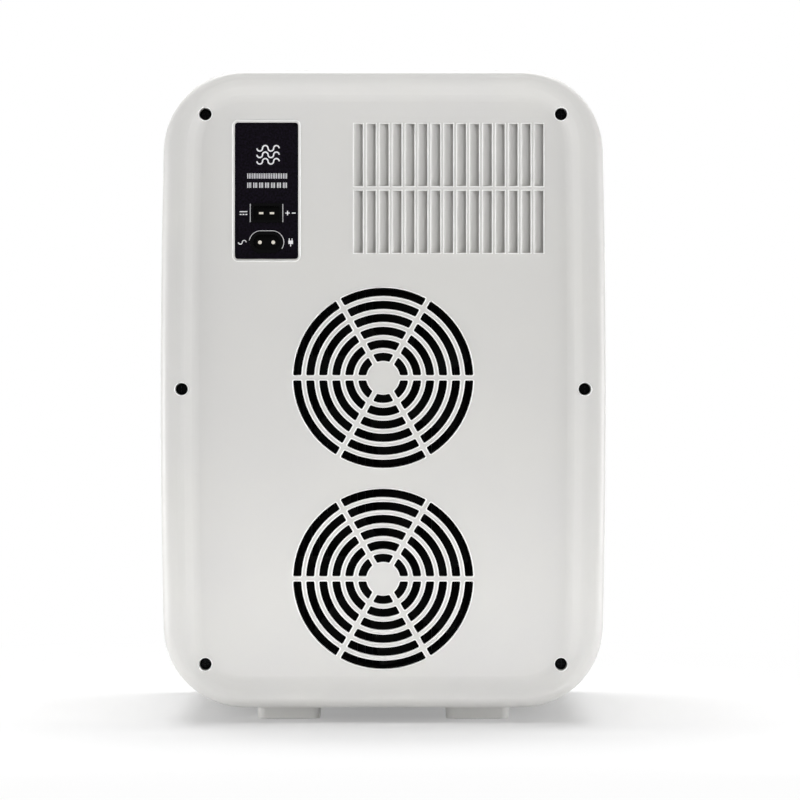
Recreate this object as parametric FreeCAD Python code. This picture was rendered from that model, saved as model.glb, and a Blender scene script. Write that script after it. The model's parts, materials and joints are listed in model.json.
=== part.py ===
import FreeCAD, Part
import math
import os

# A thermoelectric mini fridge with two cooling cores, as an assembly of separate pieces.
# Millimetres. +Z is up, the door faces -Y and the rear cover faces +Y. The origin is on the
# floor, at the centre of the footprint. Left and right are given by the sign of X.
#
# From front to back: a foam-filled door on two hidden hinges, the gasket, the front frame,
# the cabinet (outer shell, foam, liner), the bulkhead that closes the foam, the two hot
# heatsinks with their fans, the power board above them, and the rear cover.
#
# Cutting tools run 1 mm past what they cut, and shapes that are joined into one solid start up
# to 1 mm inside each other.

V = FreeCAD.Vector

# ---------------------------------------------------------------- overall sizes
body_width = 288.0
body_height = 412.0
body_depth = 320.0
corner_radius = 53.0
side_bow = 1.9           # how far each side swells at mid height
wall = 2.5               # of every outer moulding

foot_height = 10.0
foot_width = 41.6
foot_length = 34.0
foot_corner = 5.0
foot_taper = 0.5
foot_offset_x = 61.7
foot_front_y = -86.0
foot_back_y = 104.0
pad_proud = 0.4
pad_depth = 2.2
pad_margin = 5.0

# ---------------------------------------------------------------- cabinet
door_depth = 43.0
seal_gap = 5.0
frame_depth = 3.0
rear_cover_depth = 34.0
side_foam = 22.0
back_foam = 25.0
liner_wall = 2.0
liner_back_radius = 8.0
frame_edge_radius = 1.5
seam_radius = 0.6
bulkhead_depth = 2.5

strike_inset = 18.5      # steel strip behind the front frame that the gasket magnets hold
strike_width = 5.5
strike_depth = 1.0

# ---------------------------------------------------------------- rear cover
rim_radius = 6.0
recess_depth = 4.0
crest_side = 13.0        # where the raised rim starts to fall, from the side
crest_top = 8.5
foot_side = 22.5         # where the fall ends in the flat field
foot_top = 18.0
recess_blend = 12.0
lip_depth = 3.0          # tongue of the cover that locates inside the shell
lip_wall = 2.0

well_radius = 4.0
well_wall = 2.5
well_depth = 10.0        # from the flat field down to the screw seat
well_floor = 3.0
well_mouth = 0.9
well_corner_x = 115.0
well_corner_drop = 28.2  # below the top of the body
well_corner_rise = 28.2  # above its underside
well_side_x = 130.3
post_radius = 5.0

lower_fan_rise = 83.3    # above the underside of the body
fan_pitch = 130.0
grille_hub = 11.0
grille_pitch = 8.4
grille_slot = 5.2
grille_rings = 6
grille_spokes = 3        # bars right across, so twice as many arms
grille_spoke_width = 3.5
grille_corner = 0.8
edge_round = 0.5         # rounding along every slot in the cover
duct_wall = 2.0
duct_gap = 0.5           # between the cover's duct ring and the fan

vent_columns = 15
vent_rows = 2
vent_pitch = 8.34
vent_slot = 4.9
vent_height = 40.0
vent_row_gap = 3.2
vent_centre_x = -41.65
vent_drop = 34.6         # top of the upper row below the top of the body
vent_pad = 2.0           # extra thickness behind the louvres
vent_pad_margin = 4.0
vent_lean = 6.2          # how far each louvre shifts sideways through the wall

# ---------------------------------------------------------------- inlets
inlet_width = 41.0
inlet_height = 88.2
inlet_x = 75.5
inlet_drop = 33.6
inlet_corner = 2.0
inlet_edge = 1.4
inlet_overlap = 4.0
inlet_plate = 2.2
dc_drop = 92.1
dc_width = 20.6
dc_height = 12.6
dc_corner = 1.0
dc_bezel = 1.8
dc_pin_pitch = 7.0
dc_pin_width = 2.8
dc_pin_height = 1.3
ac_drop = 111.0
ac_width = 21.9
ac_height = 14.3
ac_bezel = 2.3
ac_pin_pitch = 8.6
ac_pin_radius = 1.2
socket_depth = 16.0
socket_floor = 3.5
socket_flange = 0.8
socket_edge = 0.4
pin_tip_depth = 2.2      # pin tips below the mouth of their socket
pin_tail = 4.0

# ---------------------------------------------------------------- cooling cores
module_side = 40.0
module_depth = 3.6
module_seal_margin = 6.0
block_clearance = 1.0
hot_side = 118.0
hot_base = 5.0
hot_fin_height = 21.5
hot_fin_wall = 1.5
hot_fin_pitch = 5.0
cold_width = 100.0
cold_height = 84.0
cold_base = 4.0
cold_fin_height = 16.0
cold_fin_wall = 1.2
cold_fin_pitch = 4.0
clamp_offset = 32.0
clamp_radius = 1.6
clamp_head_radius = 3.2
clamp_head_depth = 2.4
clamp_bite = 4.0         # into the hot heatsink's base
clamp_head_room = 1.3
screw_clearance = 0.15
heatsink_post = 3.6      # pillars among the fins that take the fan screws

fan_to_cover = 7.5
fan_screw_bite = 8.0
fan_corner = 5.0
fan_disc = 3.0           # motor plate and its arms
fan_arm = 4.0
fan_arms = 4
shaft_radius = 1.5
shaft_clearance = 0.05
bearing_radius = 4.0
bearing_short = 6.0      # bearing tube ends this far below the open face
rotor_gap = 1.0          # between the motor plate and the rotor
rotor_room = 0.8         # around the bearing tube
rotor_top = 3.0
rotor_sink = 0.6         # below the open face
rotor_edge = 1.0
shaft_float = 0.3        # above the floor of its bearing
blade_angle = 55.0
blade_depth = 1.6

# ---------------------------------------------------------------- power board
board_width = 146.0
board_height = 84.0
board_depth = 1.6
board_centre_x = -32.0
board_drop = 36.0
board_lift = 10.0        # off the bulkhead
board_hole_inset = 6.0
board_screw_radius = 1.5
board_screw_head = 2.8
board_bore_depth = 8.0   # of each screw's way into its pillar

transformer_place = (88.0, 42.0)   # places on the board are from its low corner
bobbin_width = 30.0
bobbin_height = 22.0
bobbin_lift = 24.0
bobbin_corner = 2.0
core_width = 36.0
core_height = 32.0
core_start = 7.0
core_depth = 10.0
large_can = (9.0, 30.0)            # radius and length
small_can = (5.0, 16.0)
large_can_places = ((42.0, 60.0), (42.0, 36.0))
small_can_places = ((118.0, 62.0), (118.0, 48.0), (118.0, 34.0))
can_edge = 0.8
board_sink_place = (64.0, 42.0)
board_sink_half = 25.0
board_sink_lift = 30.0
board_sink_wall = 3.0
board_sink_width = 12.0
board_sink_fins = 5
board_sink_fin = 1.2
board_sink_pitch = 5.0
board_sink_first = 8.0
plug_height = 8.0
plug_lift = 9.0
plug_wall = 1.0
plug_floor = 2.0
fan_plug_places = ((52.0, 12.0), (14.0, 42.0))      # of the upper and the lower rear fan
inlet_plug_places = ((134.0, 60.0), (134.0, 40.0))  # of the DC and the AC inlet
spare_plug_places = ((14.0, 66.0), (134.0, 20.0), (88.0, 12.0))
plug_width = 12.0
lead_pitch = 5.0         # between the two leads in a plug
lead_turn = 10.0         # behind the contacts, where the first inlet lead turns
lead_layer = 5.0         # between the layers that the inlet leads cross in
lead_stagger = 2.0
fan_lead_rise = 30.0     # above the fan's centre, where its leads come out
fan_lead_gap = 0.5
fan_lead_split = 6.0     # between the two leads of a fan
fan_lead_depth = 11.0    # behind the fan's closed face
fan_lead_sides = (8.0, 13.0)       # outside the side of the upper and the lower fan
fan_lead_drop = 12.0     # below the plug, where the leads turn to it
fan_lead_over = 8.0

# ---------------------------------------------------------------- cold space
fan_cover_width = 136.0
fan_cover_margin = 8.0   # below the lower and above the upper cold heatsink
fan_cover_floor_gap = 0.5 # above the round of the liner's floor
fan_cover_wall = 2.0
fan_cover_gap = 3.0
fan_cover_corner = 14.0
fan_cover_edge = 3.0
fan_cover_rings = 3
fan_cover_spokes = 2
fan_cover_outlets = 7
fan_cover_outlet = 12.0
fan_cover_outlet_depth = 20.0
fan_cover_outlet_back = 6.0   # in front of the liner
cover_boss_inset = 10.0
cover_boss_radius = 4.0
cover_boss_depth = 8.0
cover_well_radius = 3.6
cover_well_wall = 1.6
cover_well_floor = 2.0

shelf_rises = (116.0, 236.0)   # ledge tops above the floor of the liner
ledge_width = 7.0
ledge_height = 4.0
ledge_back_gap = 3.0
ledge_front = 12.0       # behind the front of the frame
shelf_rod = 2.0
shelf_wire = 1.2
shelf_weld = 0.4         # how far crossing wires sink into each other
shelf_side_gap = 1.2
shelf_seat = 0.1         # between the shelf and its ledges
shelf_corner = 8.0
shelf_wire_end = 1.0     # past the middle of the frame rod
shelf_wires = 13
shelf_back_gap = 5.0
shelf_travel = 10.0
shelf_front_gap = 2.0

# ---------------------------------------------------------------- door
door_edge_radius = 12.0
door_panel_depth = 2.5
door_plug_inset = 34.0
door_plug_depth = 8.0
door_plug_edge = 3.0
door_plug_inner_edge = 2.0
gasket_inset = 18.0
gasket_width = 8.0
gasket_gap = 0.3
gasket_groove = 1.2
magnet_width = 4.0
magnet_depth = 2.4
magnet_skin = 0.6        # gasket between the magnet and the frame

hinge_axis_inset = 9.0   # from the widest point of the side
hinge_axis_depth = 7.0   # in front of the door's back face
hinge_spread = 125.0     # each hinge above and below mid height
knuckle_radius = 6.0
knuckle_half = 7.0
knuckle_plate = 1.5
knuckle_plate_half = 19.0
knuckle_plate_inner = 22.0     # plate's inner edge from the side of the body
knuckle_plate_outer = 3.0
hinge_pin_radius = 2.5
hinge_pin_half = 20.0
hinge_clearance = 0.05
notch_gap = 1.6          # room above and below each knuckle in the door
notch_front = 13.0       # room in front of the hinge axis
notch_inner = 8.0
boss_margin = 5.0
hinge_screw_radius = 1.5
hinge_screw_head = 2.8
hinge_screw_head_depth = 1.3
hinge_screw_length = 7.0
hinge_screw_offset = 13.0
nut_plate_depth = 3.0

grip_height = 96.0
grip_reach = 20.0        # into the door
grip_front = 11.0        # behind the door's front
grip_back = 8.0          # in front of the door's back
grip_wall = 2.0
grip_radius = 8.0

rack_half_width = 92.0
rack_reach = 32.0
rack_height = 50.0
rack_wall = 2.0
rack_gap = 0.3
rack_rises = (16.0, 196.0)     # rack floors above the floor of the liner
rack_radius = 6.0
rack_slots = 9
rack_slot = 8.0
rack_slot_height = 20.0
rack_slot_drop = 8.0     # below the rim of the rack
rack_slot_corner = 3.5
rack_seat = 0.1
lug_reach = 11.0
lug_width = 5.0
lug_rise = 16.0
lug_height = 18.0
ear_height = 4.0
ear_lip = 2.2
ear_drop = 12.0

# ---------------------------------------------------------------- controls
control_width = 100.0
control_length = 30.0
control_centre_y = -77.0
control_corner = 4.0
control_sink = 0.6       # panel face below the top of the shell
control_gap = 0.2
control_flange = 3.0
control_flange_depth = 2.0
control_room = 1.0       # round the flange in the foam
control_pocket = 13.0
control_plate = 2.0
control_skirt = 1.5
control_skirt_depth = 6.0
button_radius = 6.0
button_pitch = 18.0
button_first_x = -36.0
button_collar = 1.2
button_collar_depth = 1.8
button_stem = 2.6
button_travel = 0.8
button_gap = 0.2
button_proud = 0.4
button_seat = 0.1
button_edge = 0.5
switch_side = 6.0
switch_height = 3.4
plunger_radius = 1.7
plunger_height = 1.0
display_width = 30.0
display_length = 14.0
display_x = 30.0
display_depth = 1.2
display_gap = 0.2        # round the digits' block
display_corner = 1.5
display_lip = 1.0
display_block = 5.6
control_board_drop = 10.2
control_board_depth = 1.6
control_board_inset = 5.0
control_post_radius = 1.6

# ---------------------------------------------------------------- fasteners
cover_screw_radius = 1.95
cover_screw_head = 3.7
cover_screw_head_depth = 2.6
cover_screw_length = 20.0
thread_clearance = 0.05
cross_width = 0.9
cross_share = 1.3        # arm length of the cross recess over the head radius
cross_depth = 1.2
head_rounding = 0.4      # share of the head's depth
foot_screw_radius = 2.0
foot_screw_head = 4.0
foot_screw_head_depth = 2.0
foot_screw_length = 10.0
foot_boss_radius = 5.5
foot_boss_height = 9.0
small_screw_radius = 1.5
small_screw_head = 2.8
small_screw_head_depth = 2.0
small_screw_length = 9.0
board_screw_length = 7.0
wire_radius = 1.0
wire_bend = 6.0


class Fan:
    """The sizes of one square axial fan."""

    def __init__(self, side, depth, duct, wall, hub, holes, hole_radius, flange, blades, tip_gap):
        self.side = side
        self.depth = depth
        self.duct = duct
        self.wall = wall
        self.hub = hub
        self.holes = holes
        self.hole_radius = hole_radius
        self.flange = flange
        self.blades = blades
        self.tip_gap = tip_gap


rear_fan = Fan(side=120.0, depth=25.0, duct=57.5, wall=1.5, hub=20.0, holes=105.0, hole_radius=2.15,
               flange=4.0, blades=7, tip_gap=1.2)
inner_fan = Fan(side=80.0, depth=15.0, duct=37.8, wall=1.2, hub=15.0, holes=71.5, hole_radius=2.0,
                flange=3.0, blades=7, tip_gap=1.0)

# ---------------------------------------------------------------- worked out
half_width = body_width / 2
z_bottom = foot_height
z_top = foot_height + body_height
z_middle = (z_bottom + z_top) / 2

y_door_front = -body_depth / 2
y_door_back = y_door_front + door_depth
y_frame_front = y_door_back + seal_gap
y_shell_front = y_frame_front + frame_depth
y_rim = body_depth / 2
y_cover_front = y_rim - rear_cover_depth
y_field = y_rim - recess_depth
y_cover_inner = y_field - wall

y_rear_fan = y_cover_inner - fan_to_cover - rear_fan.depth
y_hot_fins = y_rear_fan - hot_fin_height
y_hot_base = y_hot_fins - hot_base
y_bulkhead = y_hot_base - bulkhead_depth
y_liner_outer = y_bulkhead - back_foam
y_liner_inner = y_liner_outer - liner_wall
y_cold_base = y_liner_inner - cold_base
y_cold_fins = y_cold_base - cold_fin_height
y_inner_fan = y_cold_fins - inner_fan.depth
y_fan_cover = y_inner_fan - fan_cover_gap - fan_cover_wall

liner_outer_inset = wall + side_foam
liner_inset = liner_outer_inset + liner_wall
z_liner_floor = z_bottom + liner_inset
core_heights = (z_bottom + lower_fan_rise, z_bottom + lower_fan_rise + fan_pitch)

y_plug = y_door_back + door_plug_depth
y_rack_front = y_plug + rack_gap
y_rack_back = y_rack_front + rack_reach
y_shelf_front = y_rack_back + shelf_front_gap + shelf_travel
y_shelf_back = y_fan_cover - shelf_back_gap

hinge_x = half_width - hinge_axis_inset
hinge_y = y_door_back - hinge_axis_depth
hinge_heights = (z_middle - hinge_spread, z_middle + hinge_spread)

y_board = y_hot_base + board_lift
z_board_top = z_top - board_drop
z_board_bottom = z_board_top - board_height
z_control_face = z_top - control_sink
z_control_board = z_top - control_board_drop
button_xs = tuple(button_first_x + i * button_pitch for i in range(3))


# ---------------------------------------------------------------- shape helpers
def outline(side, top, bottom, radius, y):
    """Closed wire at one y: the body's rounded rectangle with swelling sides, moved in by
    side, top and bottom, with corners of the given radius tangent to their neighbours."""
    a = half_width - side
    zt = z_top - top
    zb = z_bottom + bottom
    zc = (zt + zb) / 2
    corner_z = (zt - zb) / 2 - radius
    sweep = (corner_z ** 2 + side_bow ** 2) / (2 * side_bow)
    corner_x = a - sweep + math.sqrt((sweep - radius) ** 2 - corner_z ** 2)
    lean = math.atan2(corner_z, corner_x - (a - sweep))
    tx = a - sweep + sweep * math.cos(lean)
    tz = sweep * math.sin(lean)
    mid = (lean + math.pi / 2) / 2
    mx = corner_x + radius * math.cos(mid)
    mz = corner_z + radius * math.sin(mid)

    def at(x, z):
        return V(x, y, zc + z)

    edges = [
        Part.Arc(at(tx, -tz), at(a, 0), at(tx, tz)).toShape(),
        Part.Arc(at(tx, tz), at(mx, mz), at(corner_x, zt - zc)).toShape(),
        Part.makeLine(at(corner_x, zt - zc), at(-corner_x, zt - zc)),
        Part.Arc(at(-corner_x, zt - zc), at(-mx, mz), at(-tx, tz)).toShape(),
        Part.Arc(at(-tx, tz), at(-a, 0), at(-tx, -tz)).toShape(),
        Part.Arc(at(-tx, -tz), at(-mx, -mz), at(-corner_x, zb - zc)).toShape(),
        Part.makeLine(at(-corner_x, zb - zc), at(corner_x, zb - zc)),
        Part.Arc(at(corner_x, zb - zc), at(mx, -mz), at(tx, -tz)).toShape(),
    ]
    return Part.Wire(edges)


def slab(inset, y0, y1):
    """The body's outline, moved in evenly, as a block from y0 to y1."""
    wire = outline(inset, inset, inset, corner_radius - inset, y0)
    return Part.Face(wire).extrude(V(0, y1 - y0, 0))


def ring(outer, inner, y0, y1):
    """A frame of the body's outline between two insets."""
    return slab(outer, y0, y1).cut(slab(inner, y0 - 1, y1 + 1))


def box(x0, x1, y0, y1, z0, z1):
    """A block between two corners, given in any order."""
    low = V(min(x0, x1), min(y0, y1), min(z0, z1))
    return Part.makeBox(abs(x1 - x0), abs(y1 - y0), abs(z1 - z0), low)


def cyl_y(x, z, radius, y0, y1):
    """A round bar along Y."""
    return Part.makeCylinder(radius, abs(y1 - y0), V(x, min(y0, y1), z), V(0, 1, 0))


def cyl_z(x, y, radius, z0, z1):
    """A round bar along Z."""
    return Part.makeCylinder(radius, abs(z1 - z0), V(x, y, min(z0, z1)), V(0, 0, 1))


def tube_y(x, z, outer, inner, y0, y1):
    """A tube along Y."""
    return cyl_y(x, z, outer, y0, y1).cut(cyl_y(x, z, inner, min(y0, y1) - 1, max(y0, y1) + 1))


def edges_along(shape, axis):
    """The straight edges of a shape that run along an axis, given as a vector."""
    found = []
    for e in shape.Edges:
        if e.Curve.TypeId == "Part::GeomLine":
            d = e.Vertexes[-1].Point - e.Vertexes[0].Point
            if d.Length > 1e-6 and abs(d.normalize().dot(axis)) > 0.9999:
                found.append(e)
    return found


def edges_at_y(shape, y, keep=None):
    """The edges that lie in the plane y, or those whose middle passes keep(x, z)."""
    found = []
    for e in shape.Edges:
        b = e.BoundBox
        if abs(b.YMin - y) < 1e-4 and abs(b.YMax - y) < 1e-4:
            if keep is None or keep((b.XMin + b.XMax) / 2, (b.ZMin + b.ZMax) / 2):
                found.append(e)
    return found


def edges_at_z(shape, z):
    """The edges that lie in the plane z."""
    return [e for e in shape.Edges
            if abs(e.BoundBox.ZMin - z) < 1e-4 and abs(e.BoundBox.ZMax - z) < 1e-4]


def round_block(x0, x1, y0, y1, z0, z1, radius, axis=V(0, 1, 0)):
    """A block whose edges along one axis are rounded."""
    b = box(x0, x1, y0, y1, z0, z1)
    return b.makeFillet(radius, edges_along(b, axis))


def cross(x, z, y_face, towards, radius):
    """The cross recess in a screw head whose face is at y_face; towards is the way it faces."""
    arm = radius * cross_share / 2
    y1 = y_face - towards * cross_depth
    y0 = y_face + towards
    flat = box(x - arm, x + arm, y0, y1, z - cross_width / 2, z + cross_width / 2)
    tall = box(x - cross_width / 2, x + cross_width / 2, y0, y1, z - arm, z + arm)
    return flat.fuse(tall)


def screw_y(x, z, y_seat, towards, radius, length, head, head_depth):
    """A pan-head screw along Y. Its head stands on y_seat and faces towards (+1 or -1)."""
    top = cyl_y(x, z, head, y_seat, y_seat + towards * head_depth)
    face_y = y_seat + towards * head_depth
    top = top.makeFillet(head_depth * head_rounding, edges_at_y(top, face_y))
    shank = cyl_y(x, z, radius, y_seat, y_seat - towards * length)
    return top.fuse(shank).removeSplitter().cut(cross(x, z, face_y, towards, head))


def mirrored(shape):
    """The same shape on the other side of the body."""
    return shape.mirror(V(0, 0, 0), V(1, 0, 0))


def group(shapes):
    """Separate solids that share one node."""
    solids = []
    for s in shapes:
        solids.extend(s.Solids)
    return Part.makeCompound(solids)


def join(shapes):
    """One solid from pieces that touch."""
    whole = shapes[0].multiFuse(shapes[1:])
    return whole.removeSplitter()


# ---------------------------------------------------------------- cabinet
def liner_block(inset, y_back, radius):
    """The liner's inside or outside, with its back edge rounded."""
    block = slab(inset, y_shell_front, y_back)
    return block.makeFillet(radius, edges_at_y(block, y_back))


def control_block(grow, z0, z1):
    """The control panel's rounded outline, grown on every side, between two heights."""
    hx = control_width / 2 + grow
    hy = control_length / 2 + grow
    return round_block(-hx, hx, control_centre_y - hy, control_centre_y + hy, z0, z1,
                       control_corner + grow, V(0, 0, 1))


def foot_places():
    """The centre of each foot."""
    return [(s * foot_offset_x, y) for s in (-1, 1) for y in (foot_front_y, foot_back_y)]


def outer_shell():
    block = slab(0, y_shell_front, y_cover_front)
    block = block.makeFillet(seam_radius, edges_at_y(block, y_cover_front))
    shell = block.cut(slab(wall, y_shell_front - 1, y_cover_front + 1))
    shell = shell.cut(control_block(0, z_top - 2 * wall, z_top + 1))
    bosses = [cyl_z(x, y, foot_boss_radius, z_bottom + wall / 2, z_bottom + wall + foot_boss_height)
              for x, y in foot_places()]
    shell = join([shell] + bosses)
    for x, y in foot_places():
        shell = shell.cut(cyl_z(x, y, foot_screw_radius + thread_clearance,
                                z_bottom - 1, z_bottom + foot_boss_height))
    return shell


def front_frame():
    block = slab(0, y_frame_front, y_shell_front)
    block = block.makeFillet(frame_edge_radius, edges_at_y(block, y_frame_front))
    frame = block.cut(slab(liner_inset, y_frame_front - 1, y_shell_front + 1))
    frame = frame.cut([hinge_plate(z) for z in hinge_heights])
    return frame.cut(hinge_screw_bores(y_frame_front - 1, y_shell_front + 1))


def strike_strip():
    return ring(strike_inset, strike_inset + strike_width, y_shell_front,
                y_shell_front + strike_depth)


def clamp_places():
    """The centre of each clamp screw."""
    return [(s * clamp_offset, z) for z in core_heights for s in (-1, 1)]


def fan_cover_box():
    """The inner fan cover's low and high x and z."""
    z0 = core_heights[0] - cold_height / 2 - fan_cover_margin
    z1 = core_heights[1] + cold_height / 2 + fan_cover_margin
    lowest = z_liner_floor + liner_back_radius + fan_cover_floor_gap
    return -fan_cover_width / 2, fan_cover_width / 2, max(z0, lowest), z1


def fan_cover_screws_at():
    """The centre of each screw of the inner fan cover."""
    x0, x1, z0, z1 = fan_cover_box()
    return [(x, z) for x in (x0 + cover_boss_inset, x1 - cover_boss_inset)
            for z in (z0 + cover_boss_inset, z1 - cover_boss_inset)]


def block_opening(z, y0, y1, margin):
    """The square way that a cold block takes through a wall."""
    h = module_side / 2 + margin
    return box(-h, h, y0, y1, z - h, z + h)


def liner_tub():
    """The whole liner's shape, open at the front."""
    outer = liner_block(liner_outer_inset, y_liner_outer, liner_back_radius + liner_wall)
    return outer.cut(liner_block(liner_inset, y_liner_inner, liner_back_radius))


def liner_sleeve():
    """The four walls of the liner and the ledges that carry the shelves."""
    seam = y_liner_inner - liner_back_radius
    tub = liner_tub().common(slab(0, y_shell_front, seam))
    inside = slab(liner_inset - liner_wall / 2, y_shell_front, y_liner_inner)
    rails = []
    for rise in shelf_rises:
        z1 = z_liner_floor + rise
        rail = box(half_width, half_width - liner_inset - ledge_width,
                   y_frame_front + ledge_front, y_fan_cover - ledge_back_gap,
                   z1 - ledge_height, z1)
        rail = rail.common(inside)
        rails += [rail, mirrored(rail)]
    return join([tub] + rails)


def liner_back():
    """The liner's back, a shallow tray that is welded to the sleeve. It carries the bosses of
    the inner fan cover, and the cold blocks and clamp screws pass through it."""
    seam = y_liner_inner - liner_back_radius
    tray = liner_tub().common(slab(0, seam, y_liner_outer + 1))
    bosses = [cyl_y(x, z, cover_boss_radius, y_liner_inner - cover_boss_depth, y_liner_inner + 0.5)
              for x, z in fan_cover_screws_at()]
    tray = join([tray] + bosses)
    cuts = [block_opening(z, y_liner_inner - 1, y_liner_outer + 1, block_clearance)
            for z in core_heights]
    cuts += [cyl_y(x, z, clamp_radius + screw_clearance, y_liner_inner - 1, y_liner_outer + 1)
             for x, z in clamp_places()]
    cuts += [cyl_y(x, z, small_screw_radius + thread_clearance,
                   y_liner_inner - cover_boss_depth - 1, y_liner_inner)
             for x, z in fan_cover_screws_at()]
    return tray.cut(cuts)


def cabinet_foam():
    foam = slab(wall, y_shell_front, y_bulkhead)
    foam = foam.cut(liner_block(liner_outer_inset, y_liner_outer, liner_back_radius + liner_wall))
    foam = foam.cut(strike_strip())
    foam = foam.cut(control_block(control_flange + control_room, z_top - wall - control_pocket, z_top))
    for x, y in foot_places():
        foam = foam.cut(cyl_z(x, y, foot_boss_radius, z_bottom, z_bottom + wall + foot_boss_height))
    for z in core_heights:
        foam = foam.cut(block_opening(z, y_liner_outer - 1, y_bulkhead + 1, block_clearance))
    for x, z in clamp_places():
        foam = foam.cut(cyl_y(x, z, clamp_radius + screw_clearance, y_liner_outer - 1,
                              y_bulkhead + 1))
    foam = foam.cut([hinge_nut_plate(z) for z in hinge_heights])
    return foam.cut(hinge_screw_bores(y_shell_front - 1, y_frame_front + hinge_screw_length + 1))


def well_places():
    """The centre of each cover screw, as (x, z)."""
    zt = z_top - well_corner_drop
    zb = z_bottom + well_corner_rise
    return [(s * x, z) for s in (-1, 1)
            for x, z in ((well_corner_x, zt), (well_side_x, z_middle), (well_corner_x, zb))]


def board_holes():
    """The centre of each screw of the power board."""
    x0 = board_centre_x - board_width / 2 + board_hole_inset
    x1 = board_centre_x + board_width / 2 - board_hole_inset
    return [(x, z) for x in (x0, x1)
            for z in (z_board_bottom + board_hole_inset, z_board_top - board_hole_inset)]


def rear_bulkhead():
    plate = slab(wall, y_bulkhead, y_hot_base)
    seat = y_field - well_depth - well_floor
    posts = [cyl_y(x, z, post_radius, y_bulkhead + 1, seat) for x, z in well_places()]
    posts += [cyl_y(x, z, board_screw_head + 1, y_bulkhead + 1, y_board) for x, z in board_holes()]
    plate = join([plate] + posts)
    for x, z in well_places():
        plate = plate.cut(cyl_y(x, z, cover_screw_radius + thread_clearance, seat + 1,
                                seat + well_floor - cover_screw_length - 2))
    for x, z in board_holes():
        plate = plate.cut(cyl_y(x, z, board_screw_radius + thread_clearance, y_board + 1,
                                y_board - board_bore_depth))
    for z in core_heights:
        plate = plate.cut(block_opening(z, y_bulkhead - 1, y_hot_base + 1, module_seal_margin))
    for x, z in clamp_places():
        plate = plate.cut(cyl_y(x, z, clamp_radius + screw_clearance, y_bulkhead - 1,
                                y_hot_base + 1))
    return plate


# ---------------------------------------------------------------- rear cover
def recess_tool():
    """What is taken out of the cover's back to leave the raised rim."""
    over = 1.0
    slope_side = (foot_side - crest_side) / recess_depth
    slope_top = (foot_top - crest_top) / recess_depth
    side = crest_side - slope_side * over
    top = crest_top - slope_top * over
    high = outline(side, top, top, corner_radius - side, y_rim + over)
    low = outline(foot_side, foot_top, foot_top, corner_radius - foot_side, y_field)
    return Part.makeLoft([high, low], True, True)


def on_crest(edge):
    """Whether an edge in the rim's plane is the inner one, where the rim starts to fall."""
    b = edge.BoundBox
    outer = Part.Face(outline(0, 0, 0, corner_radius, y_rim)).BoundBox
    limit = (rim_radius + min(crest_side, crest_top)) / 2
    x = max(abs(b.XMin), abs(b.XMax))
    z = max(abs(b.ZMin - z_middle), abs(b.ZMax - z_middle))
    return x < outer.XMax - limit and z < (outer.ZMax - outer.ZMin) / 2 - limit


def grille_slots(x, z, rings, hub, spokes, y0, y1):
    """One solid for each slot of a round grille between two planes."""
    reach = hub + rings * grille_pitch
    bars = [box(-reach, reach, y0 - 1, y1 + 1, -grille_spoke_width / 2, grille_spoke_width / 2)]
    for i in range(1, spokes):
        bar = bars[0].copy()
        bar.rotate(V(0, 0, 0), V(0, 1, 0), 180 * i / spokes)
        bars.append(bar)
    slots = []
    for i in range(rings):
        r0 = hub + i * grille_pitch
        band = tube_y(0, 0, r0 + grille_slot, r0, y0, y1)
        first = band.cut(bars).Solids[0]
        first = first.makeFillet(grille_corner, edges_along(first, V(0, 1, 0)))
        for k in range(2 * spokes):
            slot = first.copy()
            slot.rotate(V(0, 0, 0), V(0, 1, 0), 180 * k / spokes)
            slot.translate(V(x, 0, z))
            slots.append(slot)
    return slots


def vent_edges():
    """The low x of each louvre column and the low z of each row."""
    span = (vent_columns - 1) * vent_pitch + vent_slot
    x0 = vent_centre_x - span / 2
    z1 = z_top - vent_drop
    columns = [x0 + i * vent_pitch for i in range(vent_columns)]
    rows = [z1 - vent_height - i * (vent_height + vent_row_gap) for i in range(vent_rows)]
    return columns, rows


def vent_slots():
    """One slanted channel for each louvre. Each leans away from the inlets as it goes in, so
    that from behind only its sloping side shows."""
    columns, rows = vent_edges()
    y1 = y_field + 1
    y0 = y_cover_inner - vent_pad - 1
    lean = vent_lean / (wall + vent_pad)
    slots = []
    for x in columns:
        for z in rows:
            out = x + lean
            inn = x - lean * (y_field - y0)
            wire = Part.makePolygon([V(out, y1, z), V(out + vent_slot, y1, z),
                                     V(inn + vent_slot, y0, z), V(inn, y0, z), V(out, y1, z)])
            slots.append(Part.Face(wire).extrude(V(0, 0, vent_height)))
    return slots


def inlet_opening():
    """The way through the cover to the inlet panel."""
    z1 = z_top - inlet_drop
    hx = inlet_width / 2
    return round_block(inlet_x - hx, inlet_x + hx, y_cover_inner - 1, y_rim,
                       z1 - inlet_height, z1, inlet_corner)


def near_well(edge):
    """Whether an edge is the mouth of a screw well."""
    b = edge.BoundBox
    if b.YMin < y_field - 1e-4:
        return False
    cx, cz = (b.XMin + b.XMax) / 2, (b.ZMin + b.ZMax) / 2
    return any(math.hypot(cx - x, cz - z) < well_radius + 0.1 for x, z in well_places())


def near_inlet(x, z):
    """Whether a point lies on the inlet panel's opening."""
    low = z_top - inlet_drop - inlet_height
    return abs(x - inlet_x) < inlet_width / 2 + 0.1 and z > low - 0.1


def near_slot(x, z):
    """Whether a point lies on a fan grille or a louvre."""
    reach = grille_hub + grille_rings * grille_pitch
    columns, rows = vent_edges()
    if any(math.hypot(x, z - h) < reach for h in core_heights):
        return True
    return columns[0] - 1 < x < columns[-1] + vent_slot + 1 and z > rows[-1] - 1


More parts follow.
